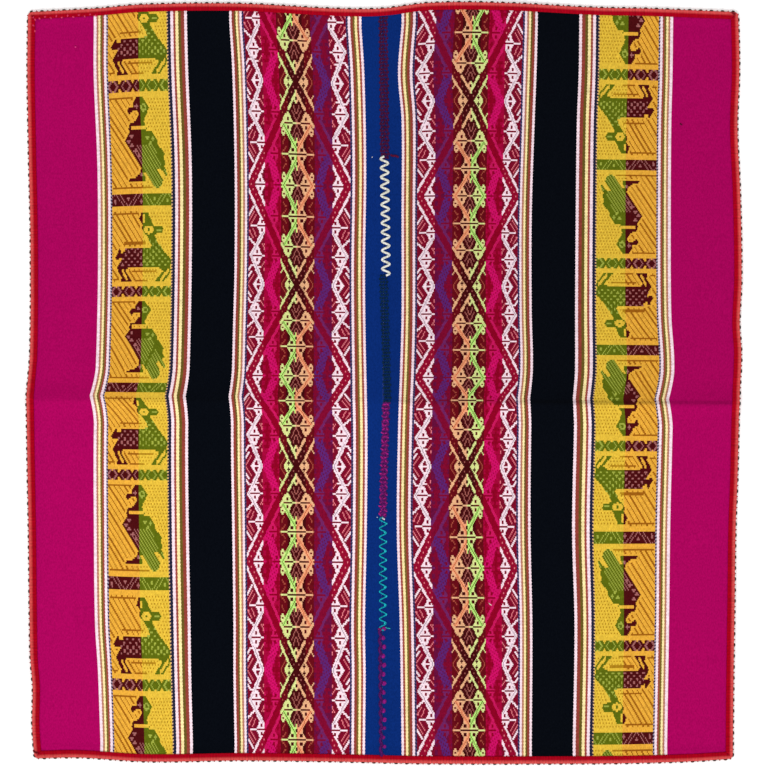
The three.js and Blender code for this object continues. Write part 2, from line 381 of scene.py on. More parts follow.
print("picks:", LEFT_BEAT[-1][0], "and", RIGHT_BEAT[-1][0])

# %% [markdown]
# ## The lattice band
# The wide band is charted as on squared paper: across in ends from its middle, along in picks from the
# nearest crossing of the great diagonals. The band mirrors in both directions, so one quarter of a repeat is
# enough. Its motifs are streaks, triangles and lozenges in a few short tables, painted one over the other on
# the dark ground. Eight runs of colour cross the band, and where the pattern calls for a light yarn, each run
# shows its own.

# %% Lattice chart
LATTICE_ENDS = 102
LEAN = 0.81
LEAF_STEP = 4.0
DARK, PALE, BRIGHT, CORE, TICK, GROUND_YARN, BAND = range(7)
# Rows of ends, then the yarns of a run for the kinds above, from the selvedge side to the join side.
RUNS = (
    (17, "wine", "white", "white", "grey", "rose", "wine", "ruby"),
    (17, "dark crimson", "hot pink", "pink", "crimson", "hot pink", "crimson", "dark crimson"),
    (8, "garnet", "pistachio", "leaf", "moss", "clay", "garnet", "garnet"),
    (9, "dark maroon", "pistachio", "leaf", "moss", "umber", "dark maroon", "dark maroon"),
    (9, "dark maroon", "apricot", "peach", "rust", "umber", "dark maroon", "dark maroon"),
    (8, "garnet", "apricot", "peach", "rust", "clay", "garnet", "garnet"),
    (17, "mulberry", "plum", "purple", "damson", "plum", "damson", "mulberry"),
    (17, "wine", "white", "white", "grey", "rose", "wine", "ruby"),
)
# Rows of kind, x and pick at one end, x and pick at the other end, and width in ends.
STREAKS = (
    # White columns: the zigzag's crossing arms, and hatching on both sides of it.
    (PALE, 47, 12.4, 51, 9.4, 2.2), (PALE, 45.5, 25.4, 51, 29, 2.2),
    (TICK, 33.4, 14.6, 37.8, 10.8, 1.5), (PALE, 37.6, 11, 44, 11, 1), (TICK, 33.6, 9.6, 35.4, 9.6, 1),
    (TICK, 33.4, 21.2, 36.8, 25.4, 1.2), (TICK, 33.6, 24.8, 34.8, 24.8, 1),
    (TICK, 50.6, 0.6, 45.2, 6.4, 1.2), (PALE, 51, 5, 47.8, 8.2, 1.4),
    (TICK, 43.6, 30, 46.4, 34.2, 1.1), (TICK, 46.6, 29.4, 50.4, 33.4, 1.1),
    (TICK, 49, 36.6, 43.2, 42, 1.3), (TICK, 50.6, 39.2, 46.2, 43.6, 1.3), (PALE, 51, 42, 46.6, 46.6, 1.8),
    # Middle columns: thin chevrons and barbs.
    (TICK, 15.9, 0, 11.6, 5.2, 1.1), (PALE, 16.8, 8, 12.8, 11.6, 1.5), (PALE, 13.4, 12, 16.6, 15, 2),
    (TICK, 16.2, 42, 11.6, 46.2, 1.1), (TICK, 16.2, 42, 11.6, 37.8, 1.1), (TICK, 13, 33.4, 14.8, 36, 1.1),
    (TICK, 12, 48, 14.6, 50.4, 1.1),
)
# The zigzags, in the same form. A narrow one carries a fine line, and a wide one is stippled.
ZIGZAGS = (
    (BRIGHT, 35.2, 0, 47.8, 18, 4.2), (BRIGHT, 48.4, 18, 35.0, 33, 4.2),
    (BRIGHT, 29.8, 0, 20.4, 15.6, 8), (BRIGHT, 28.8, 42.4, 20.2, 60, 8),
    (BRIGHT, 13.6, 24.6, -0.8, 41, 4), (BRIGHT, -0.8, 43, 14.4, 60, 4),
)
# Rows of middle, row, half width, height, and the dash beside the bar from and to x.
PAIRS = (
    (41.9, 18, 4.8, 6, 33.6, 37.2), (37.4, 36, 4.7, 5.8, 42.4, 49), (39, 60, 4.7, 6.4, 31.4, 34.4),
    (22.2, 18, 4, 5, 0, 0), (23.6, 42, 4, 5.2, 0, 0), (20.2, 60, 4, 5.6, 0, 0),
    (8.7, 24, 4.5, 6.2, -4, 4.1), (4.5, 42, 4.3, 5.4, 9.2, 16.4), (7.7, 60, 4.5, 6.2, -3, 3.1),
)
# Rows of kind, middle, row, half width and half height. The first ones lie under the other motifs.
FIRST_LOZENGES = (
    (DARK, 20.5, 3, 5, 9), (DARK, 29, 18, 5.4, 10), (DARK, 20, 29, 4, 8), (DARK, 29.4, 55, 5, 10),
    (DARK, 19, 46, 4, 8),
    (PALE, 39.8, 0, 6, 5.8), (PALE, 7.8, 0, 4.6, 5.2),
)
LAST_LOZENGES = (
    (DARK, 40.2, 1.2, 2.3, 2.6), (PALE, 40, 0, 3, 0.7), (DARK, 7.8, 1.8, 1.5, 1.5),
    (PALE, 0, 9, 3.4, 4.4), (DARK, 0, 9.6, 1.1, 1.6),
    (PALE, 13.9, 29, 2.4, 3.6), (DARK, 13.9, 29, 1, 1.5),
    (PALE, 13.9, 55, 2.4, 3.6), (DARK, 13.9, 55, 1, 1.5),
    (BRIGHT, 0, 35.4, 2, 3.6), (DARK, 0, 36.4, 1, 1.5), (BRIGHT, 0, 48.6, 2, 3.6), (DARK, 0, 47.6, 1, 1.5),
)
# The rows of the stars. Then rows of an x and a pick at both ends of the thin lines in their petals, counted
# from a star's row.
STARS = (24, 60)
PETAL_LINES = ((0.4, 1.2, 3.8, 6.6), (0.2, 5.4, 2.8, 10.4))

print("motifs in the lattice tables:", len(STREAKS + ZIGZAGS + PAIRS + FIRST_LOZENGES + LAST_LOZENGES))

# %% [markdown]
# ## Brushes for motifs
# The weaver thinks in motifs, and so does the chart. Each brush paints one kind of motif into the squares
# where it falls, and what is painted later covers what is there.

# %% Painting motifs
def paint_streak(chart, x, p, row):
    """Paints a slanting or level streak of even width."""
    kind, x0, p0, x1, p1, width = row
    if abs(p1 - p0) < 0.5:
        chart[(np.abs(p - p0) < 0.6) & (x >= min(x0, x1)) & (x <= max(x0, x1))] = kind
        return
    middle = x0 + (p - p0) * (x1 - x0) / (p1 - p0)
    chart[(np.abs(x - middle) < width / 2) & (p > min(p0, p1) - 0.6) & (p < max(p0, p1) + 0.6)] = kind


def paint_pair(chart, x, p, row):
    """Paints a pale triangle above and below a bar."""
    middle, bar, half, tall, _, _ = row
    up = np.abs(p - bar)
    chart[(up > 0.6) & (np.abs(x - middle) < half * (1 - (up - 1) / tall)) & (up < tall)] = PALE


def paint_bar(chart, x, p, row):
    """Paints the bar of a pair, the dark dot in each triangle and the dash beside the bar."""
    middle, bar, half, _, dash_from, dash_to = row
    up = np.abs(p - bar)
    chart[(np.abs(x - middle) < 1.1) & (up > 1.6) & (up < 3.4)] = DARK
    chart[(up < 0.6) & (np.abs(x - middle) < half + 0.3)] = DARK
    chart[(up < 0.6) & (x > dash_from) & (x < dash_to)] = PALE


def paint_lozenge(chart, x, p, row):
    """Paints a lozenge. A tall one is a leaf, with steps along its edges."""
    kind, middle, centre, half, tall = row
    across, up = np.abs(x - middle) / half, np.abs(p - centre)
    leaf = tall > 7
    notched = leaf & (np.mod(up, LEAF_STEP) < 1.5) & (across > 0.42 * (1 - up / tall))
    chart[(across + up / tall < (1.25 if leaf else 1)) & (across < 1) & ~notched] = kind


print("brushes:", paint_streak.__name__, paint_pair.__name__, paint_bar.__name__, paint_lozenge.__name__)

# %% [markdown]
# ## The great diagonals
# Two wide diagonals cross in every repeat, and all the smaller motifs fill the rooms between them. They are
# painted over those, so that they run through without a break.

# %% The whole lattice
def lattice_chart(picks, first_crossing):
    """Which kind of yarn shows at each pick and end of the lattice band."""
    from_crossing = (picks - first_crossing + LATTICE_REPEAT / 2) % LATTICE_REPEAT - LATTICE_REPEAT / 2
    p = np.abs(from_crossing)[:, None] + np.zeros(LATTICE_ENDS)
    x = np.abs(np.arange(LATTICE_ENDS) + 0.5 - LATTICE_ENDS / 2)[None, :] + np.zeros_like(p)
    chart = np.full(p.shape, GROUND_YARN)
    off = x - LEAN * p
    white, pink, middle = x > 34, (x > 17) & (x < 34), x < 17
    for row in FIRST_LOZENGES:
        paint_lozenge(chart, x, p, row)
    for row in STREAKS:
        paint_streak(chart, x, p, row)

    # Pale outlines of the great diagonals stop where other motifs meet them.
    outside = (off > 0) & (off < np.where(middle, 5.8, 6.4)) & (middle & (p < 15.5) | white & (p > 41) | pink)
    within = (p > 4) & (p < 16.6) | (p > 18) & (p < 27)
    outline = (off < 0) & (off > np.where(middle, -6, -6.6)) & (middle & within | pink
                                                               | (x > 32) & (p > 45) & (p < 53.6))
    chart[outside | outline] = PALE
    for row in PAIRS:
        paint_pair(chart, x, p, row)
    for kind, x0, p0, x1, p1, width in ZIGZAGS:
        paint_streak(chart, x, p, (kind, x0, p0, x1, p1, width))
        if width < 6:
            paint_streak(chart, x, p, (CORE, x0, p0, x1, p1, 1))
    chart[(chart == BRIGHT) & pink & (np.mod(np.floor(x) + 2 * p, 5) < 1)] = CORE
    for row in PAIRS:
        paint_bar(chart, x, p, row)
    for row in LAST_LOZENGES:
        paint_lozenge(chart, x, p, row)
    chart[np.abs(off) < np.where(white, 4, 3.5)] = BAND
    chart[(np.abs(off) < 0.5) & (np.mod(p, 3) < 1) & ~pink] = TICK

    for star in STARS:
        up = np.abs(p - star)
        for x0, up0, x1, up1 in PETAL_LINES:
            line = x0 + (up - up0) * (x1 - x0) / (up1 - up0)
            chart[(np.abs(x - line) < 0.5) & (up > up0 - 0.5) & (up < up1 + 0.5)] = TICK
    return chart


def lattice_yarns(chart):
    """The yarn number for each cell of a lattice chart."""
    table = np.array([[yarn(name) for name in run[1:]] for run in RUNS])
    run = np.repeat(np.arange(len(RUNS)), [row[0] for row in RUNS])
    return table[run[None, :], chart]


print("lattice cells in a repeat:", LATTICE_REPEAT * LATTICE_ENDS)

# %% [markdown]
# ## The animal band
# Llamas and birds stand between narrow bars, a traditional subject of this kind of weaving. The outer half of
# the band is gold with maroon figures, and the inner half lemon with green ones, so one animal is in two
# colours. Each animal is drawn here as a few plain shapes in ends and picks, and the finer marks are dots and
# lines set into them. Thin hatching fills the ground, and it keeps a clear margin round each figure.

# %% Animal chart
BAND_ENDS = 60
OUTER_HALF = 31
GROUND, FIGURE, HATCH, SPOT, FINE = range(5)
LLAMA_PICKS = 57
BIRD_PICKS = 66
HATCH_PITCH = 5.3
HATCH_WIDTH = 1.4
LINE_HALF_WIDTH = 0.62
BAR_MARGIN = 6.4
# Rows of corners, in ends from the selvedge side and picks from the bar before.
LLAMA = {
    "ears": ((29.5, 8), (36.5, 8), (39, 11.4), (41, 14.6), (31.5, 15), (27, 11.8)),
    "head": ((31, 14.4), (41, 14.4), (42, 15.4), (49.5, 15.4), (52, 17.6), (50, 20.2), (43.4, 20.4),
             (42, 21.6), (35, 21.6), (31.5, 19), (29.6, 17.6)),
    "neck": ((34, 20.4), (42, 20.4), (46.5, 25.6), (52, 30.6), (60, 36.4), (60, 39), (58, 41.4), (36, 41.4),
             (36, 29.4), (40, 28), (38.5, 25.6)),
    "body": ((13.5, 29.3), (37, 29.3), (37, 41.4), (16.6, 41.4), (13, 43), (4.6, 41.6), (10, 35.6)),
    "tail": ((7, 29.4), (8.8, 29.8), (9.4, 32), (13, 31), (12, 35), (5, 36.4), (3, 34.2), (5.8, 31.6)),
    "hind legs": ((4.6, 41.2), (16.8, 41), (13.6, 43.4), (20.2, 50.4), (8.6, 50.4), (9.8, 47.4), (7.4, 45)),
    "fore legs": ((46, 41), (58, 40.4), (60, 42.4), (59, 44.8), (52.6, 50.4), (43, 50.4), (52, 43.4)),
}
# Rows of the two ends and the width of a gap between legs or ears.
LLAMA_GAPS = (
    ((10.6, 43.2), (14.8, 48.6), 2.0), ((57.4, 43), (49.6, 49.2), 2.2), ((32, 9.4), (32, 13.6), 1.2),
    ((5.4, 36.6), (8.6, 35.8), 1.2),
)
# Rows of start, stop and pick of the broken lines above and below a figure.
LLAMA_LINES = ((1, 27, 8), (12, 34, 26), (20, 45, 44), (1, 6, 49), (23, 36, 50))
BIRD = {
    "head": ((28, 6.5), (33.5, 6.5), (40.4, 13), (36.6, 17), (34.3, 20.3), (34.5, 22.6), (22.4, 22.6),
             (29.2, 17), (28.5, 15), (23.5, 14.5), (20, 17), (18, 14.5), (19.5, 12.4), (23.8, 12),
             (24.2, 10)),
    "collar": ((20, 22), (34.6, 22), (37.2, 25.6), (34, 27), (19.4, 27), (17.8, 25)),
    "breast": ((19.5, 26.2), (34, 26.2), (33, 50), (31, 50), (29.4, 47.6), (14, 32.3)),
    "wing": ((33, 26.2), (41, 26.2), (47.2, 31.8), (46.8, 33.4), (53.8, 40.2), (52.4, 41.8), (54.6, 45.4),
             (52.8, 46.6), (56.6, 51.4), (55, 52.8), (49.5, 48.2), (46.5, 49), (51.8, 55.2), (49.8, 58.2),
             (46, 60), (44.2, 59.6), (34, 50.4), (32, 50)),
    "claw": ((29.4, 48.4), (33, 48.4), (32, 51), (33.8, 53), (34, 55.6), (16.2, 55.6), (17.5, 54.1), (24, 53),
             (28.8, 50.6)),
}
BIRD_COLLAR = ((21.4, 23.4), (35.6, 23.4), (36.4, 25.8), (21.4, 25.8))
BIRD_LINES = ((1, 24, 7), (1, 44, 59))
BIRD_SPOTS = (
    (27.3, 12), (21, 29.2), (17.9, 32.2), (21, 34.9), (24.3, 38), (27.6, 41.2), (37, 30.2), (42.5, 30.8),
    (39.6, 33.6), (30.4, 51.6),
)
FEATHER_LEAN = 1.03
FEATHER_PITCH = 3.1
BAR_PITCH = 13.2

print("outlines:", len(LLAMA), "for a llama and", len(BIRD), "for a bird")

# %% [markdown]
# ## From corners to cells
# A closed outline becomes cells by asking of each cell whether it lies inside. Gaps and eyes are then taken
# out of the figure, and pale spots are set into it.

# %% Llama and bird
def inside(corners, e, p):
    """True where a cell lies inside a closed outline."""
    hit = np.zeros(e.shape, bool)
    for (e0, p0), (e1, p1) in zip(corners, corners[1:] + corners[:1]):
        if p0 != p1:
            hit ^= ((p0 > p) != (p1 > p)) & (e < e0 + (p - p0) * (e1 - e0) / (p1 - p0))
    return hit


def along_line(start, stop, width, e, p):
    """True where a cell lies within half a width of a line."""
    run = np.array([stop[0] - start[0], stop[1] - start[1]], float)
    t = np.clip(((e - start[0]) * run[0] + (p - start[1]) * run[1]) / (run @ run), 0, 1)
    return np.hypot(e - start[0] - t * run[0], p - start[1] - t * run[1]) < width / 2


def llama(e, p):
    """A llama's own cells, and the pale marks inside them."""
    figure = np.any([inside(corners, e, p) for corners in LLAMA.values()], 0)
    for start, stop, width in LLAMA_GAPS:
        figure &= ~along_line(start, stop, width, e, p)
    eye = np.hypot((e - 37) / 1.9, p - 17.9)
    figure &= ~((eye < 2.5) & (eye > 0.7))
    row = np.round((p - 31.2) / 2.1)
    spots = np.abs(np.mod(e - 1.4 + 3.1 * row, 6.2) - 3.1) / 1.35 + np.abs(p - 31.2 - 2.1 * row) / 1.1 < 1
    spots &= (p > 24) & (p < 40) & (inside(LLAMA["body"], e, p) | inside(LLAMA["neck"], e, p))
    spots |= (np.abs(p - 18) < 0.6) & (e > 45) & (e < 50)
    return figure, figure & spots


def bird(e, p):
    """A bird's own cells, and the pale marks inside them."""
    figure = np.any([inside(corners, e, p) for corners in BIRD.values()], 0)
    figure &= ~inside(BIRD_COLLAR, e, p)
    ring = np.hypot((e - 34.2) / 1.35, p - 12.9)
    spots = (ring < 2.2) & (ring > 1.1) & (e > OUTER_HALF)
    for spot_e, spot_p in BIRD_SPOTS:
        spots |= np.abs(e - spot_e) / 1.9 + np.abs(p - spot_p) / 1.4 < 1
    feather = np.mod(e - FEATHER_LEAN * p + 1, FEATHER_PITCH) < 0.95
    wing = (e - 30 > 0.9 * (31 - p)) & (p > 34) & (e > 25) & (e < 0.86 * p + 12) & (e > 0.9 * p - 11)
    return figure, figure & (spots | (feather & wing))


print("picks of a llama and of a bird:", LLAMA_PICKS, BIRD_PICKS)

# %% [markdown]
# ## Bars between the animals
# Two kinds of narrow bar take turns between the animals. Both repeat across the band, so one formula draws
# each.

# %% The bars
def lozenge_bar(e, up):
    """A chain of lozenges: its own cells, and the pale lines between them."""
    across = np.abs(np.mod(e - 4.5 + BAR_PITCH / 2, BAR_PITCH) - BAR_PITCH / 2)
    notch = (np.abs(up) > 1.1 + 1.2 * (BAR_PITCH / 2 - across)) | (np.abs(up) > 2.4 + across)
    return (np.abs(up) < 3.8) & ~notch, np.abs(across + np.abs(up) - 4.4) < LINE_HALF_WIDTH


def triangle_bar(e, up):
    """Triangles between double lines: the bar's own cells, and its pale lines and dots."""
    across = np.mod(e - 3.2, 2 * BAR_PITCH)
    lines = np.zeros(across.shape, bool)
    for shift in (-1.9, 1.9):
        lines |= np.abs(across - BAR_PITCH * 0.5 - shift - 1.2 * up) < 0.5
        lines |= np.abs(across - BAR_PITCH * 1.5 - shift + 1.2 * up) < 0.5
    near = np.minimum(across, 2 * BAR_PITCH - across)
    dots = (np.hypot(across - BAR_PITCH, up + 0.8) < 1.2) | (np.hypot(near, up - 0.9) < 1.2)
    return np.abs(up) < 3.6, lines | dots


print("bars:", lozenge_bar.__name__, "and", triangle_bar.__name__)

# %% [markdown]
# ## The band put together
# The ground and its hatching come first, then the animals with a clear margin, and the bars last. The space
# between two bars differs from place to place, so an animal is stretched to fill it.

# %% The whole band
def animal_chart(picks, bars):
    """The kind of yarn at each pick and end of the animal band. Each bar is (pick, kind)."""
    e = np.arange(BAND_ENDS)[None, :] + 0.5 + np.zeros((len(picks), 1))
    row = picks[:, None] + np.zeros(BAND_ENDS)
    gold = e < OUTER_HALF
    coarse = np.mod(e - row, HATCH_PITCH) < HATCH_WIDTH
    fine = (np.mod(e + row, 3) < 1) & (np.mod(row, 2) < 1)
    chart = np.where(gold, np.where(coarse, HATCH, GROUND), np.where(fine, FINE, GROUND))
    figure = np.zeros(chart.shape, bool)
    marks = np.zeros(chart.shape, bool)
    lines = np.zeros(chart.shape, bool)
    for (start, kind), (stop, _) in zip(bars, bars[1:]):
        nominal = BIRD_PICKS if kind == "lozenges" else LLAMA_PICKS
        p = (row - start) * nominal / (stop - start)
        within = (p > 0) & (p < nominal)
        cells, spots = bird(e, p) if kind == "lozenges" else llama(e, p)
        figure |= cells & within
        marks |= spots & within
        for line_from, line_to, at in BIRD_LINES if kind == "lozenges" else LLAMA_LINES:
            lines |= within & (np.abs(p - at) < LINE_HALF_WIDTH) & (e > line_from) & (e < line_to)
        clear = (p > 0) & (p < BAR_MARGIN) | (p > nominal - BAR_MARGIN) & (p < nominal)
        chart[clear] = GROUND
    chart[lines] = np.where(gold, HATCH, FINE)[lines]
    margin = figure.copy()
    for step in range(2):
        grown = margin.copy()
        grown[:, 1:] |= margin[:, :-1]
        grown[:, :-1] |= margin[:, 1:]
        if step == 0:
            grown[1:] |= margin[:-1]
            grown[:-1] |= margin[1:]
        margin = grown
    chart[margin] = GROUND
    chart[figure] = FIGURE
    chart[marks] = SPOT
    for pick, kind in bars:
        up = row - pick
        body, pale = lozenge_bar(e, up) if kind == "lozenges" else triangle_bar(e, up)
        chart[body] = FIGURE
        chart[body & pale] = SPOT
    return chart


def animal_yarns(chart):
    """The yarn number for each cell of an animal chart."""
    outer = np.array([yarn(name) for name in ("gold", "maroon", "deep gold", "mauve", "deep gold")])
    inner = np.array([yarn(name) for name in ("lemon", "green", "deep lemon", "pale green", "deep lemon")])
    return np.where(np.arange(BAND_ENDS)[None, :] < OUTER_HALF, outer[chart], inner[chart])


LEFT_BARS = (
    (-11, "triangles"), (46, "lozenges"), (112, "triangles"), (168, "lozenges"), (232, "triangles"),
    (289, "lozenges"), (355, "triangles"), (412, "lozenges"), (478, "triangles"),
)
RIGHT_BARS = (
    (-53, "lozenges"), (13, "triangles"), (72, "lozenges"), (138, "triangles"), (194, "lozenges"),
    (259, "triangles"), (317, "lozenges"), (383, "triangles"), (440, "lozenges"), (506, "triangles"),
)
print("bars:", len(LEFT_BARS), "and", len(RIGHT_BARS))

# %% [markdown]
# ## Helpers for nodes
# Finishes and stitches are both node trees, and every node takes the same few lines: add it, set it up and
# feed its inputs. Writing them out each time would hide what a tree does. With a few helpers, a tree reads
# from top to bottom in the order in which it works.

# %% Adding nodes
def chain(tree, kind, inputs=(), **settings):
    """Adds a node, sets its properties, and feeds its inputs with links or values."""
    node = tree.nodes.new(kind)
    for key, value in settings.items():
        setattr(node, key, value)
    for key, value in dict(inputs).items():
        if isinstance(value, bpy.types.NodeSocket):
            tree.links.new(value, node.inputs[key])
        else:
            node.inputs[key].default_value = value
    return node


def reckon(tree, operation, *values):
    """Adds a Math node with values or links, and returns what comes out of it."""
    return chain(tree, "ShaderNodeMath", dict(enumerate(values)), operation=operation).outputs["Value"]


def new_finish(name, roughness, gloss):
    """A material, its tree and its shader, as rough and glossy as told."""
    material = bpy.data.materials.new(name)
    material.use_nodes = True
    shader = material.node_tree.nodes["Principled BSDF"]
    shader.inputs["Roughness"].default_value = roughness
    shader.inputs["Specular IOR Level"].default_value = gloss
    return material, material.node_tree, shader


print("helpers for nodes are ready")

# %% [markdown]
# ## Wool
# The finish has three scales. The yarn's colour comes from the weave itself, as a colour stored on every
# cell. Fine streaks, specks and soft blotches vary it, because hand-spun yarn takes the dye unevenly, and a
# trace of pale lint keeps the black from being dead. The rise and dip of each end over and under the weft is
# too small for the mesh, so it is bump, driven by a map that counts ends and picks. Wool scatters light at
# its fibres, so the shader is rough and has hardly any gloss.

# %% Wool material
WOOL_ROUGHNESS = 0.95
WOOL_GLOSS = 0.03
STREAK_SIZE = (60, 900, 60)
BLOTCH_SIZE = (14, 14, 14)
SPECKLE_SIZE = (900, 560, 600)
SPECKLE = 0.6
LINT = 0.0012
WEAVE_STRENGTH = 0.5


def wool(name, streak, blotch, depth):
    """A wool finish whose colour comes from the yarn attribute and whose threads come from the Weave map."""
    material, tree, shader = new_finish(name, WOOL_ROUGHNESS, WOOL_GLOSS)
    place = chain(tree, "ShaderNodeTexCoord").outputs["Object"]
    noises = []
    for size, detail in ((STREAK_SIZE, 2.0), (BLOTCH_SIZE, 1.0), (SPECKLE_SIZE, 1.0)):
        scaled = chain(tree, "ShaderNodeMapping", {"Vector": place, "Scale": size}).outputs["Vector"]
        noise = chain(tree, "ShaderNodeTexNoise", {"Vector": scaled, "Scale": 1.0, "Detail": detail})
        noises.append(noise.outputs["Fac"])
    streaks, blotches, specks = noises

    level = reckon(tree, "MULTIPLY_ADD", streaks, streak, 1.0 - streak / 2 - blotch / 2)
    level = reckon(tree, "MULTIPLY_ADD", blotches, blotch, level)
    fleck = reckon(tree, "MULTIPLY_ADD", specks, SPECKLE, 1.0 - SPECKLE / 2)
    both = reckon(tree, "MULTIPLY", level, fleck)
    dyed = chain(tree, "ShaderNodeAttribute", attribute_name="yarn").outputs["Color"]
    tint = chain(tree, "ShaderNodeVectorMath", {0: dyed, "Scale": both}, operation="SCALE")
    fluff = reckon(tree, "MULTIPLY", specks, LINT)
    fuzzy = chain(tree, "ShaderNodeVectorMath", {0: tint.outputs["Vector"], 1: fluff}, operation="ADD")
    tree.links.new(fuzzy.outputs["Vector"], shader.inputs["Base Color"])

    weave = chain(tree, "ShaderNodeUVMap", uv_map="Weave").outputs["UV"]
    split = chain(tree, "ShaderNodeSeparateXYZ", {"Vector": weave}).outputs
    waves = [reckon(tree, "SINE", reckon(tree, "MULTIPLY", split[axis], math.pi)) for axis in ("X", "Y")]
    over = reckon(tree, "MULTIPLY", *waves)
    bump = chain(tree, "ShaderNodeBump", {"Height": over, "Strength": WEAVE_STRENGTH, "Distance": depth})
    tree.links.new(bump.outputs["Normal"], shader.inputs["Normal"])
    return material


woven_wool = wool("woven_wool", streak=0.10, blotch=0.05, depth=0.12 * MM)
print("wool:", len(woven_wool.node_tree.nodes), "nodes")

# %% [markdown]
# ## The panels
# A panel could be a plane with an image on it, but then it would have no edge and no thickness, and its
# figures would be printed. Here it is a thin closed sheet with one row of cells for each pick, so that the
# figures are really made of threads. Neighbouring columns widen and narrow by turns from pick to pick, which
# gives the stripes their finely scalloped edges. The underside needs far fewer cells, because no figure has
# to show there.

# %% Where the underside has edges
UNDER_STEP = 16
UNDER_FINE_STEP = 2
UNDER_FOLD_REACH = FOLD_HALF_WIDTH + 6
END_ROWS = (0, 4, 5, 6, 7, 8, 9)
UNDER_BANDS = {"animals": 2, "lattice": 3}


def under_columns():
    """Columns at which the underside has an edge: each stripe's edge, and a few inside the figured bands."""
    stops = {0, COLUMNS}
    for c in range(1, COLUMNS):
        if column_stripe[c] != column_stripe[c - 1] or column_stripe[c] in ("magenta", "black"):
            stops.add(c)
    for stripe, parts in UNDER_BANDS.items():
        cells = np.flatnonzero(column_stripe == stripe)
        stops.update(int(cells[0] + len(cells) * k // parts) for k in range(1, parts))
    return sorted(stops)


def under_rows(y):
    """Pick lines at which the underside has an edge, closer together at the ends and under the fold."""
    count = len(y) - 1
    stops = set(END_ROWS) | {count - k for k in END_ROWS} | set(range(0, count, UNDER_STEP))
    under_fold = np.flatnonzero(np.abs(y - FOLD_Y) < UNDER_FOLD_REACH)
    stops.update(int(r) for r in under_fold[::UNDER_FINE_STEP])
    return sorted(stops)


print("columns below:", len(under_columns()) - 1)

# %% [markdown]
# ## From threads to points
# Each pick line gives one row of points, and each column edge one point in it. A modifier could bend a flat
# sheet, but the real stripes wander, so every point is worked out from the measured stripe edges on both
# sides of it. It is laid on the folds last.

# %% The points of a panel
SCALLOP_STRIPE = 0.2
SCALLOP_END = 0.1
STILL_COLUMNS = 8
figured = np.isin(column_stripe, ("animals", "lattice"))


def round_corner(x, y):
    """Pulls the corner of a true rectangle onto its arc."""
    a = np.abs(x) - (HALF_WIDTH - CORNER_RADIUS)
    b = np.abs(y) - (HALF_LENGTH - CORNER_RADIUS)
    both = (a > 0) & (b > 0)
    k = np.where(both, np.maximum(a, b) / np.hypot(np.where(both, a, 1), np.where(both, b, 1)), 1)
    round_x = np.sign(x) * (HALF_WIDTH - CORNER_RADIUS + a * k)
    round_y = np.sign(y) * (HALF_LENGTH - CORNER_RADIUS + b * k)
    return np.where(both, round_x, x), np.where(both, round_y, y)


def panel_points(way, beat, stripes, pull):
    """Flat y of each pick line, and the sheet's upper and lower point at each pick line and column edge."""
    y = curve(beat, np.arange(beat[-1][0] + 1.0))
    edges = stripe_edges(y, stripes, pull, way)
    x = edges[:, column_section] * (1 - column_share) + edges[:, column_section + 1] * column_share
    swing = np.where(np.concatenate([[False], figured]), SCALLOP_END, SCALLOP_STRIPE)
    swing[:STILL_COLUMNS] = 0
    swing[-1] = 0
    parity = 1 - 2 * ((np.arange(len(y))[:, None] + np.arange(COLUMNS + 1)[None, :]) % 2)
    x = x + swing * parity
    x, flat_y = round_corner(x, y[:, None] + np.zeros_like(x))
    low = panel_floor(x, flat_y)
    return y, lie(x, flat_y, low + SHEET), lie(x, flat_y, low)


print(int(figured.sum()), "columns carry figures")

# %% [markdown]
# ## From points to a sheet
# The sheet is closed, so it needs a face, an underside and walls. A wall meets many small cells above and a
# large one below. One face with many corners joins them, so that no gap is left and no extra cells are
# needed.

# %% The faces of a panel
def sheet_mesh(name, top, low, rows, columns):
    """A closed sheet with every cell on its face and large cells below, its faces, and its walls' sizes."""
    number = np.arange(top.shape[0] * top.shape[1]).reshape(top.shape[:2])
    under = number.size + np.arange(len(rows) * len(columns)).reshape(len(rows), len(columns))
    points = np.concatenate([top.reshape(-1, 3), low[np.ix_(rows, columns)].reshape(-1, 3)])
    quads = np.stack([number[:-1, :-1], number[1:, :-1], number[1:, 1:], number[:-1, 1:]], -1)
    backs = np.stack([under[:-1, :-1], under[:-1, 1:], under[1:, 1:], under[1:, :-1]], -1)
    walls = []
    for k, (r0, r1) in enumerate(zip(rows, rows[1:])):
        walls.append([under[k, 0], under[k + 1, 0], *number[r0:r1 + 1, 0][::-1]])
        walls.append([under[k + 1, -1], under[k, -1], *number[r0:r1 + 1, -1]])
    for k, (c0, c1) in enumerate(zip(columns, columns[1:])):
        walls.append([under[0, k + 1], under[0, k], *number[0, c0:c1 + 1]])
        walls.append([under[-1, k], under[-1, k + 1], *number[-1, c0:c1 + 1][::-1]])
    faces = quads.reshape(-1, 4).tolist() + backs.reshape(-1, 4).tolist()
    faces += [[int(v) for v in wall] for wall in walls]
    mesh = bpy.data.meshes.new(name)
    mesh.from_pydata(points.tolist(), [], faces)
    return mesh, faces, [len(wall) for wall in walls]


def place_piece(name, mesh, material, sharp_from=None):
    """Smooths a mesh, dresses it and puts it in the scene."""
    mesh.polygons.foreach_set("use_smooth", np.ones(len(mesh.polygons), bool))
    if sharp_from is not None:
        mesh.set_sharp_from_angle(angle=math.radians(sharp_from))
    mesh.materials.append(material)
    mesh.validate()
    piece = bpy.data.objects.new(name, mesh)
    scene.collection.objects.link(piece)
    return piece


print("a wall runs along", len(under_columns()) - 1, "large cells at each end")
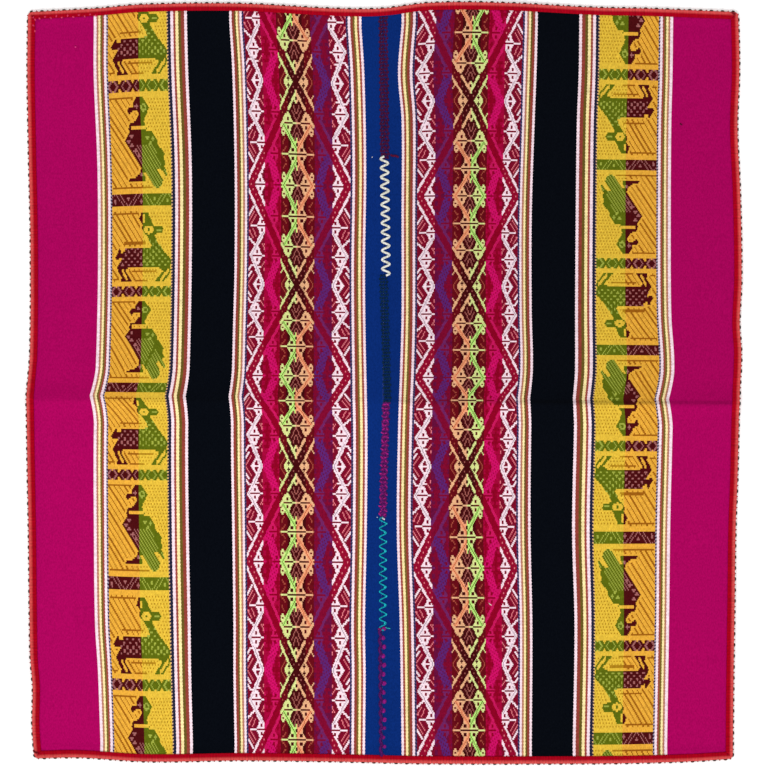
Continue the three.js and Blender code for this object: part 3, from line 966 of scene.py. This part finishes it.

# %% [markdown]
# ## The colours of a panel
# Each cell takes its yarn from the charts. No two hand-spun yarns are quite alike, so the cells of the
# figured bands and the narrow stripes vary a little, and the wide stripes stay even. Shade is painted in as
# well: the far half a little darker than the near one, the right panel a little darker than the left one,
# and a thin line of painted shade along the fold. The underside takes the average of what lies above it.

# %% Dyeing a panel
TONE_SPREAD = 0.05
TONE_LIMITS = (0.5, 1.2)
# Painted shade: how much darker the far half and the right panel are, and how fast the halves change.
PAINTED_HALF_SHADE = 0.045
PAINTED_HALF_SHADE_REACH = 6.0
PAINTED_SIDE_SHADE = 0.035
# Where the thin line of painted shade lies along the fold's crease, and how wide it is.
CREASE_Y = -14.8
CREASE_HALF_WIDTH = 2.1
# How dark the painted shade along the crease is in each section, from the magenta to the blue.
CREASE_SHARE = (0.8, 1.0, 1.0, 0.6, 0.3)


def panel_yarns(count, first_crossing, bars):
    """The yarn number of every cell of a panel."""
    picks = np.arange(count, dtype=float)
    cells = np.zeros((count, COLUMNS), int)
    for stripe in set(column_stripe) - {"animals", "lattice"}:
        cells[:, column_stripe == stripe] = yarn(stripe)
    beside_animals = np.roll(column_stripe == "animals", -1)
    cells[1::2, column_stripe == "navy"] = yarn("slate")
    cells[1::2, (column_stripe == "navy") & beside_animals] = yarn("lilac")
    cells[::2, column_stripe == "tan"] = yarn("deep navy")
    cells[:, column_stripe == "lattice"] = lattice_yarns(lattice_chart(picks, first_crossing))
    cells[:, column_stripe == "animals"] = animal_yarns(animal_chart(picks, bars))
    return cells


def panel_light(cells, y, way, crease_shade_depth, seed, rows, columns):
    """The light of every face: the weave above, its averages below, and the walls."""
    tone_and_shade = np.random.default_rng(seed).normal(1, TONE_SPREAD, cells.shape)
    tone_and_shade[:, np.isin(column_stripe, ("magenta", "black", "blue"))] = 1
    middle_y = (y[1:] + y[:-1]) / 2
    # Painted shade: the far half a little darker than the near one, the right panel than the left one.
    shade = 1 - PAINTED_HALF_SHADE * np.tanh((middle_y - FOLD_Y) / PAINTED_HALF_SHADE_REACH) - PAINTED_SIDE_SHADE * way
    # Painted shade: a thin dark line along the fold's crease, stronger in some sections than in others.
    painted_crease_shade = crease_shade_depth * np.exp(-((middle_y - CREASE_Y) / CREASE_HALF_WIDTH) ** 2)
    section_crease_shade = np.array(CREASE_SHARE)[column_section[:-1]]
    tone_and_shade = tone_and_shade * shade[:, None] * (1 - painted_crease_shade[:, None] * section_crease_shade[None, :])
    face = YARN_LIGHT[cells] * np.clip(tone_and_shade, *TONE_LIMITS)[..., None]
    back = [face[r0:r1, c0:c1].reshape(-1, 3).mean(0)
            for r0, r1 in zip(rows, rows[1:]) for c0, c1 in zip(columns, columns[1:])]
    sides = [YARN_LIGHT[yarn("magenta")], YARN_LIGHT[yarn("blue")]] * (len(rows) - 1)
    ends = np.repeat(np.array(back[:len(columns) - 1]), 2, 0)
    return np.concatenate([face.reshape(-1, 3), np.array(back), np.array(sides), ends])


def dye(mesh, light):
    """Stores the light of every face under the name that the wool finish reads."""
    light = np.concatenate([light, np.ones((len(light), 1))], 1)
    store = mesh.attributes.new("yarn", "FLOAT_COLOR", "FACE")
    store.data.foreach_set("color", light.astype(np.float32).ravel())


print("yarns in the warp:", len(set(column_stripe) - {"animals", "lattice"}))

# %% [markdown]
# ## Two maps
# A map gives each corner of a face a place on a flat page. One map counts ends and picks, for the bump of the
# weave. The other gives every cell its own room on the page, so that the colours can be stored as a picture
# later without two cells sharing a spot.

# %% Maps of a panel
FACE_ROOM = 0.93
UNDER_ROOM = (0.945, 0.04)
WALL_ROOM = (0.991, 0.997)
WALL_SHARE = 0.8


def add_map(mesh, name, places):
    """Adds a map with a place for each corner of each face."""
    mesh.uv_layers.new(name=name).data.foreach_set("uv", places.astype(np.float32).ravel())


def map_panel(mesh, count, rows, columns, wall_sizes):
    """Adds both maps to a panel."""
    ends = np.concatenate([np.tile(end_number, count + 1), np.tile(end_number[columns], len(rows))])
    picks = np.concatenate([np.repeat(np.arange(count + 1), COLUMNS + 1), np.repeat(rows, len(columns))])
    corner = np.empty(len(mesh.loops), np.int32)
    mesh.loops.foreach_get("vertex_index", corner)
    add_map(mesh, "Weave", np.stack([ends, picks], -1)[corner])
    below = UNDER_ROOM[0] + UNDER_ROOM[1] * np.array(columns) / COLUMNS
    room_u = np.concatenate([np.tile(np.arange(COLUMNS + 1) / COLUMNS * FACE_ROOM, count + 1),
                             np.tile(below, len(rows))])
    room = np.stack([room_u, picks / count], -1)[corner]
    at = len(corner) - sum(wall_sizes)
    for k, size in enumerate(wall_sizes):
        along = np.concatenate([[0, 1], np.linspace(1, 0, size - 2)])
        room[at:at + size, 0] = np.where(np.arange(size) < 2, *WALL_ROOM)
        room[at:at + size, 1] = (k + WALL_SHARE * along) / len(wall_sizes)
        at += size
    add_map(mesh, "OFBake", room)


print("share of the page for the woven face:", FACE_ROOM)

# %% [markdown]
# ## Weaving both
# Both panels have the same warping order, so one function weaves both. What differs is handed in: how the
# picks were beaten, where the stripes run, where the figures start, and how dark the fold's painted shade is.

# %% Both panels
SHARP_FROM = 62


def woven_panel(name, way, beat, stripes, pull, first_crossing, bars, crease_shade_depth, seed):
    """One panel as a closed thin sheet. way is -1 for the left panel and 1 for the right one."""
    count = beat[-1][0]
    y, top, low = panel_points(way, beat, stripes, pull)
    columns, rows = under_columns(), under_rows(y)
    mesh, faces, wall_sizes = sheet_mesh(name, top, low, rows, columns)
    dye(mesh, panel_light(panel_yarns(count, first_crossing, bars), y, way, crease_shade_depth, seed, rows, columns))
    map_panel(mesh, count, rows, columns, wall_sizes)
    print(name, count, "picks,", sum(len(face) - 2 for face in faces), "triangles")
    return place_piece(name, mesh, woven_wool, SHARP_FROM)


# The crease value of each panel says how dark the painted shade along its fold is.
left = woven_panel("left_panel_weave", -1, LEFT_BEAT, LEFT_STRIPES, LEFT_PULL, LEFT_FIRST_CROSSING,
                   LEFT_BARS, crease_shade_depth=0.16, seed=11)
right = woven_panel("right_panel_weave", 1, RIGHT_BEAT, RIGHT_STRIPES, RIGHT_PULL, RIGHT_FIRST_CROSSING,
                    RIGHT_BARS, crease_shade_depth=0.42, seed=12)

# %% [markdown]
# ## The edging
# A narrow woven band is folded over the edge of both panels, so it has a soft roll outside and a flat lip
# above and below. One section is carried round the rounded rectangle of the cloth. Stations lie close
# together and their section swells and shrinks by turns, which gives the fine ribs of a band woven with a
# thick weft.

# %% Stations round the cloth
STATION_STEP = 1.25
CORNER_STEPS = 10
INNER_CORNER = 0.4


def edging_stations():
    """Rows of x, y, the way in and the corner turned, anticlockwise along the edge from the lower right."""
    straight_x, straight_y = HALF_WIDTH - CORNER_RADIUS, HALF_LENGTH - CORNER_RADIUS
    stations = []
    sides = ((1, -straight_y, straight_y, False), (1, straight_x, -straight_x, True),
             (-1, straight_y, -straight_y, False), (-1, -straight_x, straight_x, True))
    centres = ((straight_x, straight_y), (-straight_x, straight_y),
               (-straight_x, -straight_y), (straight_x, -straight_y))
    for turn, ((sign, start, stop, flat), centre) in enumerate(zip(sides, centres)):
        steps = 2 * round(abs(stop - start) / STATION_STEP / 2)
        for k in range(steps):
            at = start + (stop - start) * k / steps
            spot = (at, sign * HALF_LENGTH, 0, -sign) if flat else (sign * HALF_WIDTH, at, -sign, 0)
            stations.append((*spot, 0, 0))
        for k in range(CORNER_STEPS):
            angle = math.pi / 2 * (turn + k / CORNER_STEPS)
            out = (math.cos(angle), math.sin(angle))
            spot = (centre[0] + CORNER_RADIUS * out[0], centre[1] + CORNER_RADIUS * out[1])
            stations.append((*spot, -out[0], -out[1], np.sign(centre[0]), np.sign(centre[1])))
    return np.array(stations)


def step_in(stations, inward):
    """Points at a distance in from the edge. Past the corner's radius they turn a smaller one."""
    corner = stations[:, 4:6]
    radius = np.maximum(CORNER_RADIUS - inward, INNER_CORNER)
    turned = corner * (np.array([HALF_WIDTH, HALF_LENGTH]) - inward - radius) - radius * stations[:, 2:4]
    straight = stations[:, :2] + stations[:, 2:4] * inward
    return np.where(corner != 0, turned, straight)


stations = edging_stations()
print("stations:", len(stations))

# %% [markdown]
# ## Folding the band
# The section is drawn once as a row of points, from the underside round the roll to the inner edge of the
# lip. Sweeping a curve would round the tight corners badly, so each point of the section is carried round on
# its own line.

# %% The folded band
EDGING_HEIGHT = 3.6
RIB = 0.06
# Rows of distance in from the edge and height, from the underside round the roll to the lip's inner edge.
EDGING_SECTION = (
    (6.9, 0.12), (6.4, 0.0), (4.0, 0.0), (2.0, 0.0), (1.3, 0.18), (0.85, 0.62), (0.65, 1.25), (0.6, 1.8),
    (0.65, 2.35), (0.85, 2.95), (1.25, 3.4), (1.9, 3.6), (2.6, 3.5), (3.2, 3.34), (3.9, 3.4), (4.9, 3.5),
    (5.9, 3.42), (6.6, 3.22), (7.0, 2.98), (6.9, 2.76), (6.4, 2.7), (1.7, 2.7), (1.5, 2.5), (1.5, 1.1),
    (1.7, 0.9), (6.4, 0.9), (6.9, 0.8), (7.0, 0.45),
)
# The rows that lie outside the fold, and how far in the ribs swell sideways.
FIRST_OUTER, LAST_OUTER, ROLL_REACH = 4, 18, 1.5
ROLL_COLOUR, LIP_COLOUR = (212, 78, 76), (164, 0, 24)
BLEND_FROM, BLEND_OVER = 2.2, 1.4
RIB_SHADES = (0.93, 1.05)
MAP_LANES = 24
LANE_START, LANE_HEIGHT, LANE_LENGTH = 0.04, 0.92, 0.99


def band_points():
    """The ring's points, a row for each station, with ribs on the outside."""
    count, size = len(stations), len(EDGING_SECTION)
    swell = RIB * (1 - 2 * (np.arange(count) % 2))[:, None]
    inward, up = np.array(EDGING_SECTION).T
    outer = (np.arange(size) >= FIRST_OUTER) & (np.arange(size) <= LAST_OUTER)
    side = np.sign(up - EDGING_HEIGHT / 2)
    inward = inward[None, :] + np.where(outer & (inward < ROLL_REACH), -swell, 0)
    up = up[None, :] + np.where(outer, swell * side[None, :], 0)
    flat = np.stack([step_in(stations, inward[:, [k]]) for k in range(size)], 1)
    return lie(flat[..., 0], flat[..., 1], up)


def band_light():
    """The light of every face: a paler roll outside, a deep red lip, and each rib a little apart in shade."""
    count = len(stations)
    shade = np.random.default_rng(21).normal(1, TONE_SPREAD, (count, 1, 1))
    shade = shade * np.where(np.arange(count) % 2, RIB_SHADES[1], RIB_SHADES[0])[:, None, None]
    inward = np.array([row[0] for row in EDGING_SECTION])
    blend = np.clip((inward - BLEND_FROM) / BLEND_OVER, 0, 1)[None, :, None]
    return ((linear(ROLL_COLOUR) * (1 - blend) + linear(LIP_COLOUR) * blend) * shade).reshape(-1, 3)


def edging_band():
    """The folded band as one closed ring."""
    count, size = len(stations), len(EDGING_SECTION)
    ring = np.arange(count * size).reshape(count, size)
    nxt, side = np.roll(ring, -1, 0), np.roll(ring, -1, 1)
    faces = np.stack([ring, nxt, np.roll(nxt, -1, 1), side], -1).reshape(-1, 4)
    mesh = bpy.data.meshes.new("edging_band")
    mesh.from_pydata(band_points().reshape(-1, 3).tolist(), [], faces.tolist())
    dye(mesh, band_light())

    station = np.repeat(np.arange(count), size)[:, None] + np.array([0, 1, 1, 0])[None, :]
    place = np.tile(np.arange(size), count)[:, None] + np.array([0, 0, 1, 1])[None, :]
    add_map(mesh, "Weave", np.stack([station, place], -1))
    per_lane = math.ceil(count / MAP_LANES)
    lane = np.repeat(np.arange(count) // per_lane, size)[:, None]
    along = (station - lane * per_lane) / per_lane
    down = (lane + LANE_START + LANE_HEIGHT * place / size) / MAP_LANES
    add_map(mesh, "OFBake", np.stack([along * LANE_LENGTH, down], -1))
    print("edging", count, "stations,", 2 * len(faces), "triangles")
    return place_piece("edging_band", mesh, wool("edging_wool", streak=0.12, blotch=0.05, depth=0.1 * MM))


edging = edging_band()

# %% [markdown]
# ## Yarn that is sewn
# The join was sewn with whatever yarn was at hand, in six lengths of different colours and stitches. Placing
# each stitch by hand would take long and look stiff. Two small node trees do it: one sets short stitches
# along a path, leaning left and right by turns, and the other lets a yarn swing from side to side as it runs.
# Their sizes are inputs, so the same tree makes every length.

# %% What both trees share
def new_tree(name, sizes, seeded):
    """A tree that takes a path, named sizes and a yarn, and gives stitches. Also its inputs and its curve."""
    tree = bpy.data.node_groups.new(name, "GeometryNodeTree")
    kinds = [("Path", "Geometry")] + [(label, "Float") for label in sizes]
    kinds += [("Seed", "Int")] * seeded + [("Yarn", "Material")]
    for label, kind in kinds:
        tree.interface.new_socket(name=label, in_out="INPUT", socket_type="NodeSocket" + kind)
    tree.interface.new_socket(name="Stitches", in_out="OUTPUT", socket_type="NodeSocketGeometry")
    given = chain(tree, "NodeGroupInput").outputs
    return tree, given, chain(tree, "GeometryNodeMeshToCurve", {"Mesh": given["Path"]}).outputs["Curve"]


def end_tree(tree, given, shape):
    """Makes instances real, smooths them and gives them their yarn."""
    real = chain(tree, "GeometryNodeRealizeInstances", {"Geometry": shape})
    smooth = chain(tree, "GeometryNodeSetShadeSmooth", {"Geometry": real.outputs["Geometry"]})
    dressed = chain(tree, "GeometryNodeSetMaterial",
                    {"Geometry": smooth.outputs["Geometry"], "Material": given["Yarn"]})
    chain(tree, "NodeGroupOutput", {"Stitches": dressed.outputs["Geometry"]})
    return tree


def across_path(tree):
    """The direction along a path, and the one across it, level with the table."""
    tangent = chain(tree, "GeometryNodeInputTangent").outputs["Tangent"]
    cross = chain(tree, "ShaderNodeVectorMath", {0: tangent, 1: (0, 0, 1)}, operation="CROSS_PRODUCT")
    return tangent, cross.outputs["Vector"]


def move_aside(tree, curve_out, across, distance, rise=None):
    """Moves a curve's points sideways, and up where a rise is given."""
    offset = chain(tree, "ShaderNodeVectorMath", {0: across, "Scale": distance}, operation="SCALE")
    if rise is not None:
        upward = chain(tree, "ShaderNodeCombineXYZ", {"Z": rise}).outputs["Vector"]
        offset = chain(tree, "ShaderNodeVectorMath", {0: offset.outputs["Vector"], 1: upward},
                       operation="ADD")
    return chain(tree, "GeometryNodeSetPosition",
                 {"Geometry": curve_out, "Offset": offset.outputs["Vector"]}).outputs["Geometry"]


print("both trees start and end alike")

# %% [markdown]
# ## Short stitches
# A short stitch shows as a small, round-ended bar that lies across the join or along it. The tree spaces
# points along the path and puts a stretched ball on each, turned with the path, leaned, and shaken a little
# by a fixed seed.

# %% A tree that sets short stitches
def stitch_tree():
    """Short stitches along a path."""
    tree, given, path = new_tree("set_stitches", ("Pitch", "Stitch Length", "Stitch Width", "Stitch Height",
                                                  "Lean", "Sideways", "Unevenness"), seeded=True)
    spaced = chain(tree, "GeometryNodeResampleCurve", {"Curve": path, "Length": given["Pitch"]},
                   mode="LENGTH")
    turn = reckon(tree, "MODULO", chain(tree, "GeometryNodeInputIndex").outputs["Index"], 2.0)
    sign = reckon(tree, "MULTIPLY_ADD", turn, 2.0, -1.0)
    tangent, across = across_path(tree)
    shift = reckon(tree, "MULTIPLY", sign, given["Sideways"])
    moved = move_aside(tree, spaced.outputs["Curve"], across, shift)
    facing = chain(tree, "FunctionNodeAlignRotationToVector", {"Vector": tangent}, axis="X")
    wander = chain(tree, "FunctionNodeRandomValue", {2: -1.0, 3: 1.0, "Seed": given["Seed"]},
                   data_type="FLOAT")
    uneven = reckon(tree, "MULTIPLY", wander.outputs[1], given["Unevenness"])
    lean = reckon(tree, "MULTIPLY_ADD", sign, given["Lean"], uneven)
    about = chain(tree, "ShaderNodeCombineXYZ", {"Z": lean})
    leaning = chain(tree, "FunctionNodeRotateRotation",
                    {"Rotation": facing.outputs["Rotation"], "Rotate By": about.outputs["Vector"]},
                    rotation_space="LOCAL")
    size = chain(tree, "ShaderNodeCombineXYZ", {"X": given["Stitch Length"], "Y": given["Stitch Width"],
                                                "Z": given["Stitch Height"]})
    grain = chain(tree, "GeometryNodeMeshUVSphere", {"Segments": 8, "Rings": 5, "Radius": 0.5})
    tilted = chain(tree, "GeometryNodeTransform",
                   {"Geometry": grain.outputs["Mesh"], "Rotation": (0, math.pi / 2, 0)})
    each = chain(tree, "GeometryNodeInstanceOnPoints",
                 {"Points": moved, "Instance": tilted.outputs["Geometry"],
                  "Rotation": leaning.outputs["Rotation"], "Scale": size.outputs["Vector"]})
    return end_tree(tree, given, each.outputs["Instances"])


set_stitches = stitch_tree()
print("short stitches:", len(set_stitches.nodes), "nodes")

# %% [markdown]
# ## A yarn that swings
# In the cream and teal lengths one yarn runs on without a break and shows as a wave. The tree moves a curve's
# points aside by a sine, lifts them between the turns, and gives the curve the section of the yarn.

# %% A tree that swings a yarn
POINTS_IN_A_TURN = 14.0
YARN_SIDES = 7


def swing_tree():
    """One yarn that swings from side to side along a path and dips into the cloth at each turn."""
    tree, given, path = new_tree("swing_yarn", ("Pitch", "Swing", "Yarn Thickness", "Arch"), seeded=False)
    step = reckon(tree, "DIVIDE", given["Pitch"], POINTS_IN_A_TURN)
    spaced = chain(tree, "GeometryNodeResampleCurve", {"Curve": path, "Length": step}, mode="LENGTH")
    run = chain(tree, "GeometryNodeSplineParameter").outputs["Length"]
    angle = reckon(tree, "MULTIPLY", reckon(tree, "DIVIDE", run, given["Pitch"]), 2 * math.pi)
    sine, cosine = reckon(tree, "SINE", angle), reckon(tree, "COSINE", angle)
    _, across = across_path(tree)
    swing = reckon(tree, "MULTIPLY", sine, given["Swing"])
    rise = reckon(tree, "MULTIPLY", reckon(tree, "MULTIPLY", cosine, cosine), given["Arch"])
    moved = move_aside(tree, spaced.outputs["Curve"], across, swing, rise)
    section = chain(tree, "GeometryNodeCurvePrimitiveCircle",
                    {"Resolution": YARN_SIDES, "Radius": given["Yarn Thickness"]})
    tube = chain(tree, "GeometryNodeCurveToMesh",
                 {"Curve": moved, "Profile Curve": section.outputs["Curve"], "Fill Caps": True})
    return end_tree(tree, given, tube.outputs["Mesh"])


swing_yarn = swing_tree()
print("swinging yarn:", len(swing_yarn.nodes), "nodes")

# %% [markdown]
# ## From a tree to a mesh
# A modifier stays live, and other programs don't know its nodes. Here it is run once, and its result is kept
# as a plain mesh, which any program can read.

# %% Running a tree
def run_tree(tree, name, path, material, **sizes):
    """Runs a tree along a path and keeps the result as a plain mesh."""
    line = bpy.data.meshes.new(name + "_path")
    line.from_pydata(path.tolist(), [(k, k + 1) for k in range(len(path) - 1)], [])
    carrier = bpy.data.objects.new(name + "_path", line)
    scene.collection.objects.link(carrier)
    modifier = carrier.modifiers.new("stitches", "NODES")
    modifier.node_group = tree
    sockets = {s.name: s.identifier for s in tree.interface.items_tree if s.in_out == "INPUT"}
    modifier[sockets["Yarn"]] = material
    for label, value in sizes.items():
        modifier[sockets[label.replace("_", " ").title()]] = value
    depsgraph = bpy.context.evaluated_depsgraph_get()
    result = bpy.data.meshes.new_from_object(carrier.evaluated_get(depsgraph))
    result.name = name
    bpy.data.objects.remove(carrier)
    bpy.data.meshes.remove(line)
    piece = bpy.data.objects.new(name, result)
    scene.collection.objects.link(piece)
    return piece


print("trees:", set_stitches.name, "and", swing_yarn.name)

# %% [markdown]
# ## Sewing yarn
# Sewing yarn is plied, so it catches the light in small ridges. At this size a fine noise reads as ply. It
# drives the bump, and it also paints shade into the yarn's colour in the hollows and shine on the ridges. All
# stitch finishes share the recipe and differ in colour alone.

# %% Sewing yarn material
PLY_ROUGHNESS = 0.85
PLY_GLOSS = 0.1
PLY_SIZE = 900.0
# Painted shade and painted shine: how much darker and lighter the yarn's colour turns along the ply.
PLY_PAINTED_SHADE, PLY_PAINTED_SHINE, PLY_SHINE_LIFT = 0.74, 1.14, 6
PLY_STOPS = (0.3, 0.68)
PLY_BUMP = 0.15 * MM
PLY_STRENGTH = 0.6


def sewing_yarn(name, colour):
    """A plied yarn finish of one colour."""
    material, tree, shader = new_finish(name, PLY_ROUGHNESS, PLY_GLOSS)
    place = chain(tree, "ShaderNodeTexCoord").outputs["Object"]
    noise = chain(tree, "ShaderNodeTexNoise", {"Vector": place, "Scale": PLY_SIZE, "Detail": 1.0})
    ply = noise.outputs["Fac"]
    ramp = chain(tree, "ShaderNodeValToRGB", {"Fac": ply})
    # Painted shade and shine: a darker and a lighter copy of the colour, laid along the ply by the noise.
    shade_and_shine = (np.array(colour) * PLY_PAINTED_SHADE, np.minimum(np.array(colour) * PLY_PAINTED_SHINE + PLY_SHINE_LIFT, 255))
    for element, position, shade in zip(ramp.color_ramp.elements, PLY_STOPS, shade_and_shine):
        element.position = position
        element.color = (*linear(shade), 1)
    tree.links.new(ramp.outputs["Color"], shader.inputs["Base Color"])
    bump = chain(tree, "ShaderNodeBump", {"Height": ply, "Strength": PLY_STRENGTH, "Distance": PLY_BUMP})
    tree.links.new(bump.outputs["Normal"], shader.inputs["Normal"])
    return material


print("sewing yarn recipe ready")

# %% [markdown]
# ## The join
# Six lengths of yarn run one after another down the middle. Each row of the tables is one length, or one
# layer of it: where it starts and stops, how its stitches sit, and its colour. The wine and green lengths are
# three columns of small stitches, and the pink one has two layers of slanting ones. The cream and the teal
# yarns swing from side to side, the teal one with a knot at each turn, and the magenta length is a row of fat
# stitches beside a thick line.

# %% Short stitches of the join
TOP_OF_CLOTH = SHEET + 0.15
PATH_STEP = 2.0
STITCH_HEIGHT = 1.2
STITCH_SIDEWAYS = 0.4
STITCH_UNEVENNESS = 0.4
FIRST_SEED = 30


def seam_path(start, stop, first, last):
    """Points on the cloth along the join, moved sideways by a shift that changes evenly along the way."""
    t = np.linspace(0, 1, 2 + int((start - stop) / PATH_STEP))
    x, y = first + (last - first) * t, start + (stop - start) * t
    return lie(x, y, panel_floor(x, y) + TOP_OF_CLOTH)


# Rows of name, start, stop, sideways places of its columns at the top and the bottom, pitch, length, width,
# lean and colour.
STITCHED = (
    ("wine_stitches", 309, 191, ((-0.8, -0.8), (1.7, 1.7), (4.3, 4.3)), 2.8, 3.0, 2.5, 0.55, (64, 6, 48)),
    ("green_stitches", 91, -15, ((-2.6, 1.8), (-0.2, 3.9), (2.4, 5.9)), 2.7, 2.4, 2.3, 0.0, (0, 34, 62)),
    ("pink_under_stitches", -17, -111, ((1.2, -0.6), (2.8, 1.0), (4.4, 2.6)), 2.2, 3.6, 2.0, 0.9,
     (90, 14, 90)),
    ("pink_stitches", -18, -110, ((1.2, -1.0), (3.6, 2.6)), 3.4, 3.8, 1.6, 0.9, (160, 20, 116)),
    ("teal_knots", -117.7, -201.3, ((3.3, 3.1),), 7.6, 2.6, 1.7, 0.5, (44, 196, 202)),
    ("magenta_stitches", -205.5, -281.5, ((1.2, 1.2),), 7.6, 4.2, 3.8, 0.4, (134, 18, 116)),
    ("magenta_end_stitches", -288.5, -311.5, ((1.0, 1.0),), 7.6, 3.2, 3.2, 0.4, (118, 14, 106)),
)
seam_pieces = []
for name, start, stop, places, pitch, length, width, lean, colour in STITCHED:
    finish = sewing_yarn(name + "_yarn", colour)
    for k, (first, last) in enumerate(places):
        piece = run_tree(set_stitches, f"{name}_{k}", seam_path(start, stop, first, last), finish,
                         pitch=pitch * MM, stitch_length=length * MM, stitch_width=width * MM,
                         stitch_height=STITCH_HEIGHT * MM, lean=lean * (-1) ** k,
                         sideways=STITCH_SIDEWAYS * MM, unevenness=STITCH_UNEVENNESS, seed=FIRST_SEED + k)
        seam_pieces.append(piece)
print("short stitches:", len(seam_pieces), "runs")

# %% [markdown]
# ## The long yarns of the join
# The cream, teal and magenta yarns each go from one end of their length to the other in one piece, so each is
# one run of the second tree. The teal knots and the magenta stitches above belong to them.

# %% Swinging yarns of the join
YARN_ARCH = 0.5
# Rows of name, start, stop, sideways place at the top and the bottom, pitch, swing, thickness and colour.
SWINGING = (
    ("cream_stitches", 192, 91, 1.3, 2.0, 7.7, 3.2, 0.98, (252, 252, 216)),
    ("teal_stitches", -112, -207, 1.0, 0.8, 7.6, 2.8, 0.62, (10, 156, 174)),
    ("magenta_line", -206, -312, -1.6, -1.4, 7.6, 0.6, 1.25, (76, 12, 90)),
)
for name, start, stop, first, last, pitch, swing, thick, colour in SWINGING:
    piece = run_tree(swing_yarn, name, seam_path(start, stop, first, last),
                     sewing_yarn(name + "_yarn", colour), pitch=pitch * MM, swing=swing * MM,
                     yarn_thickness=thick * MM, arch=YARN_ARCH * MM)
    seam_pieces.append(piece)
print("join:", len(seam_pieces), "runs,", sum(len(p.data.polygons) for p in seam_pieces), "faces")

# %% [markdown]
# ## Edge stitches
# The outermost line of the edging is overcast in dark and pale yarn by turns, with a small red stitch in each
# pale space. The same tree sets them, on a path that starts a little later for each colour.

# %% Edge stitches
EDGE_PITCH = 9.2
EDGE_PATH_STEP = 1.5
# Rows of name, start along the edge in parts of a pitch, distance in, height, length, width, height of the
# stitch and colour.
EDGE_STITCHES = (
    ("edge_dark", 0.0, 0.5, 2.0, 3.3, 1.9, 2.6, (50, 42, 34)),
    ("edge_pale_before", 0.29, 0.6, 2.0, 1.9, 1.5, 2.3, (250, 222, 214)),
    ("edge_dot", 0.5, 0.5, 2.0, 1.2, 1.7, 2.4, (128, 40, 42)),
    ("edge_pale_after", 0.71, 0.6, 2.0, 1.9, 1.5, 2.3, (250, 222, 214)),
)
# Where the dashes in one corner start and stop along the edge, how far in they lie, and how high.
CORNER_DASHES = (1172.0, 1246.0, 6.2, 3.2)
step = np.hypot(*(np.roll(stations[:, :2], -1, 0) - stations[:, :2]).T)
length_to = np.concatenate([[0], np.cumsum(step)])


def edge_path(start, stop, inward, height):
    """Points along the cloth's edge, at a distance in from it, between two lengths round it."""
    at = np.linspace(start, stop, int((stop - start) / EDGE_PATH_STEP))
    flat = step_in(stations, inward)
    x, y = (np.interp(at, length_to, np.append(flat[:, k], flat[0, k])) for k in range(2))
    return lie(x, y, height)


edge_pieces = []
for name, part, inward, height, length, width, tall, colour in EDGE_STITCHES:
    path = edge_path(part * EDGE_PITCH, length_to[-1] - (1 - part) * EDGE_PITCH, inward, height)
    piece = run_tree(set_stitches, name, path, sewing_yarn(name + "_yarn", colour),
                     pitch=EDGE_PITCH * MM, stitch_length=length * MM, stitch_width=width * MM,
                     stitch_height=tall * MM, lean=0.0, sideways=0.0, unevenness=0.15, seed=50)
    edge_pieces.append(piece)
dashes = run_tree(set_stitches, "corner_dashes", edge_path(*CORNER_DASHES),
                  sewing_yarn("dash_yarn", (212, 52, 92)), pitch=4.6 * MM, stitch_length=2.2 * MM,
                  stitch_width=1.5 * MM, stitch_height=1.0 * MM, lean=0.5, sideways=0.7 * MM,
                  unevenness=0.9, seed=51)
edge_pieces.append(dashes)
print("edge:", len(edge_pieces), "runs,", sum(len(p.data.polygons) for p in edge_pieces), "faces")

# %% [markdown]
# ## Loose ends
# A few loose ends, knots and bits of lint stay on any cloth in use, and a short table places those that the
# photograph shows. Each is a short piece of yarn that lies on the cloth, so the swinging tree makes them too.

# %% Loose ends
LOOSE_PITCH, LOOSE_SWING, LOOSE_ARCH = 6, 0.3, 0.2
# Rows of name, x and y of both ends as they lie, height, thickness and colour.
LOOSE_ENDS = (
    ("wine_end", 5.5, 191.5, 12.2, 189.8, 1.6, 0.9, (84, 6, 44)),
    ("pale_end", -1.4, -113, 0.8, -114.4, 1.5, 0.7, (226, 214, 216)),
    ("teal_end", 1.4, -205, 5.2, -206.4, 1.4, 0.5, (44, 170, 178)),
    ("magenta_end", -4.4, -206, -2, -207.4, 1.7, 1.2, (130, 12, 92)),
    ("red_knot", 122.2, 243, 123.4, 242.4, 1.4, 0.6, (170, 30, 40)),
    ("dark_spot", 248.6, 218, 250.4, 217, 1.2, 0.6, (84, 4, 40)),
    ("corner_knot", 291.6, 311.4, 294.6, 309.4, 3.4, 0.9, (110, 6, 18)),
    ("near_corner_knot", -294, -308.6, -291, -310.4, 3.4, 0.9, (110, 6, 18)),
    ("lint_blue_a", -10.2, 189.8, -9.6, 189.6, 1.3, 0.4, (236, 238, 246)),
    ("lint_blue_b", -6, -112.6, -5.4, -112.8, 1.3, 0.4, (200, 226, 246)),
    ("pale_thread", 88, -184.6, 90.4, -186.6, 1.3, 0.3, (236, 214, 200)),
    ("pink_lint", -259.2, 282.6, -258.4, 281.8, 1.5, 0.7, (206, 44, 122)),
)
loose_pieces = []
for name, x0, y0, x1, y1, height, thick, colour in LOOSE_ENDS:
    t = np.linspace(0, 1, 5)
    x, y = x0 + (x1 - x0) * t, y0 + (y1 - y0) * t
    path = np.stack([x, y, height + relief(x, y)], -1) * MM
    piece = run_tree(swing_yarn, name, path, sewing_yarn(name + "_yarn", colour), pitch=LOOSE_PITCH * MM,
                     swing=LOOSE_SWING * MM, yarn_thickness=thick * MM, arch=LOOSE_ARCH * MM)
    loose_pieces.append(piece)
print("loose ends:", len(loose_pieces))

# %% [markdown]
# ## Finish
# Every piece rides on the cloth's one body, and the packed model's own pieces are hidden, as the woven ones
# stand in their place.

# %% Ride on one body
sewn = seam_pieces + edge_pieces + loose_pieces
for piece in (left, right, edging, *sewn):
    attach(piece, "root")
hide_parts("panel_left")
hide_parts("panel_right")
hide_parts("edging")
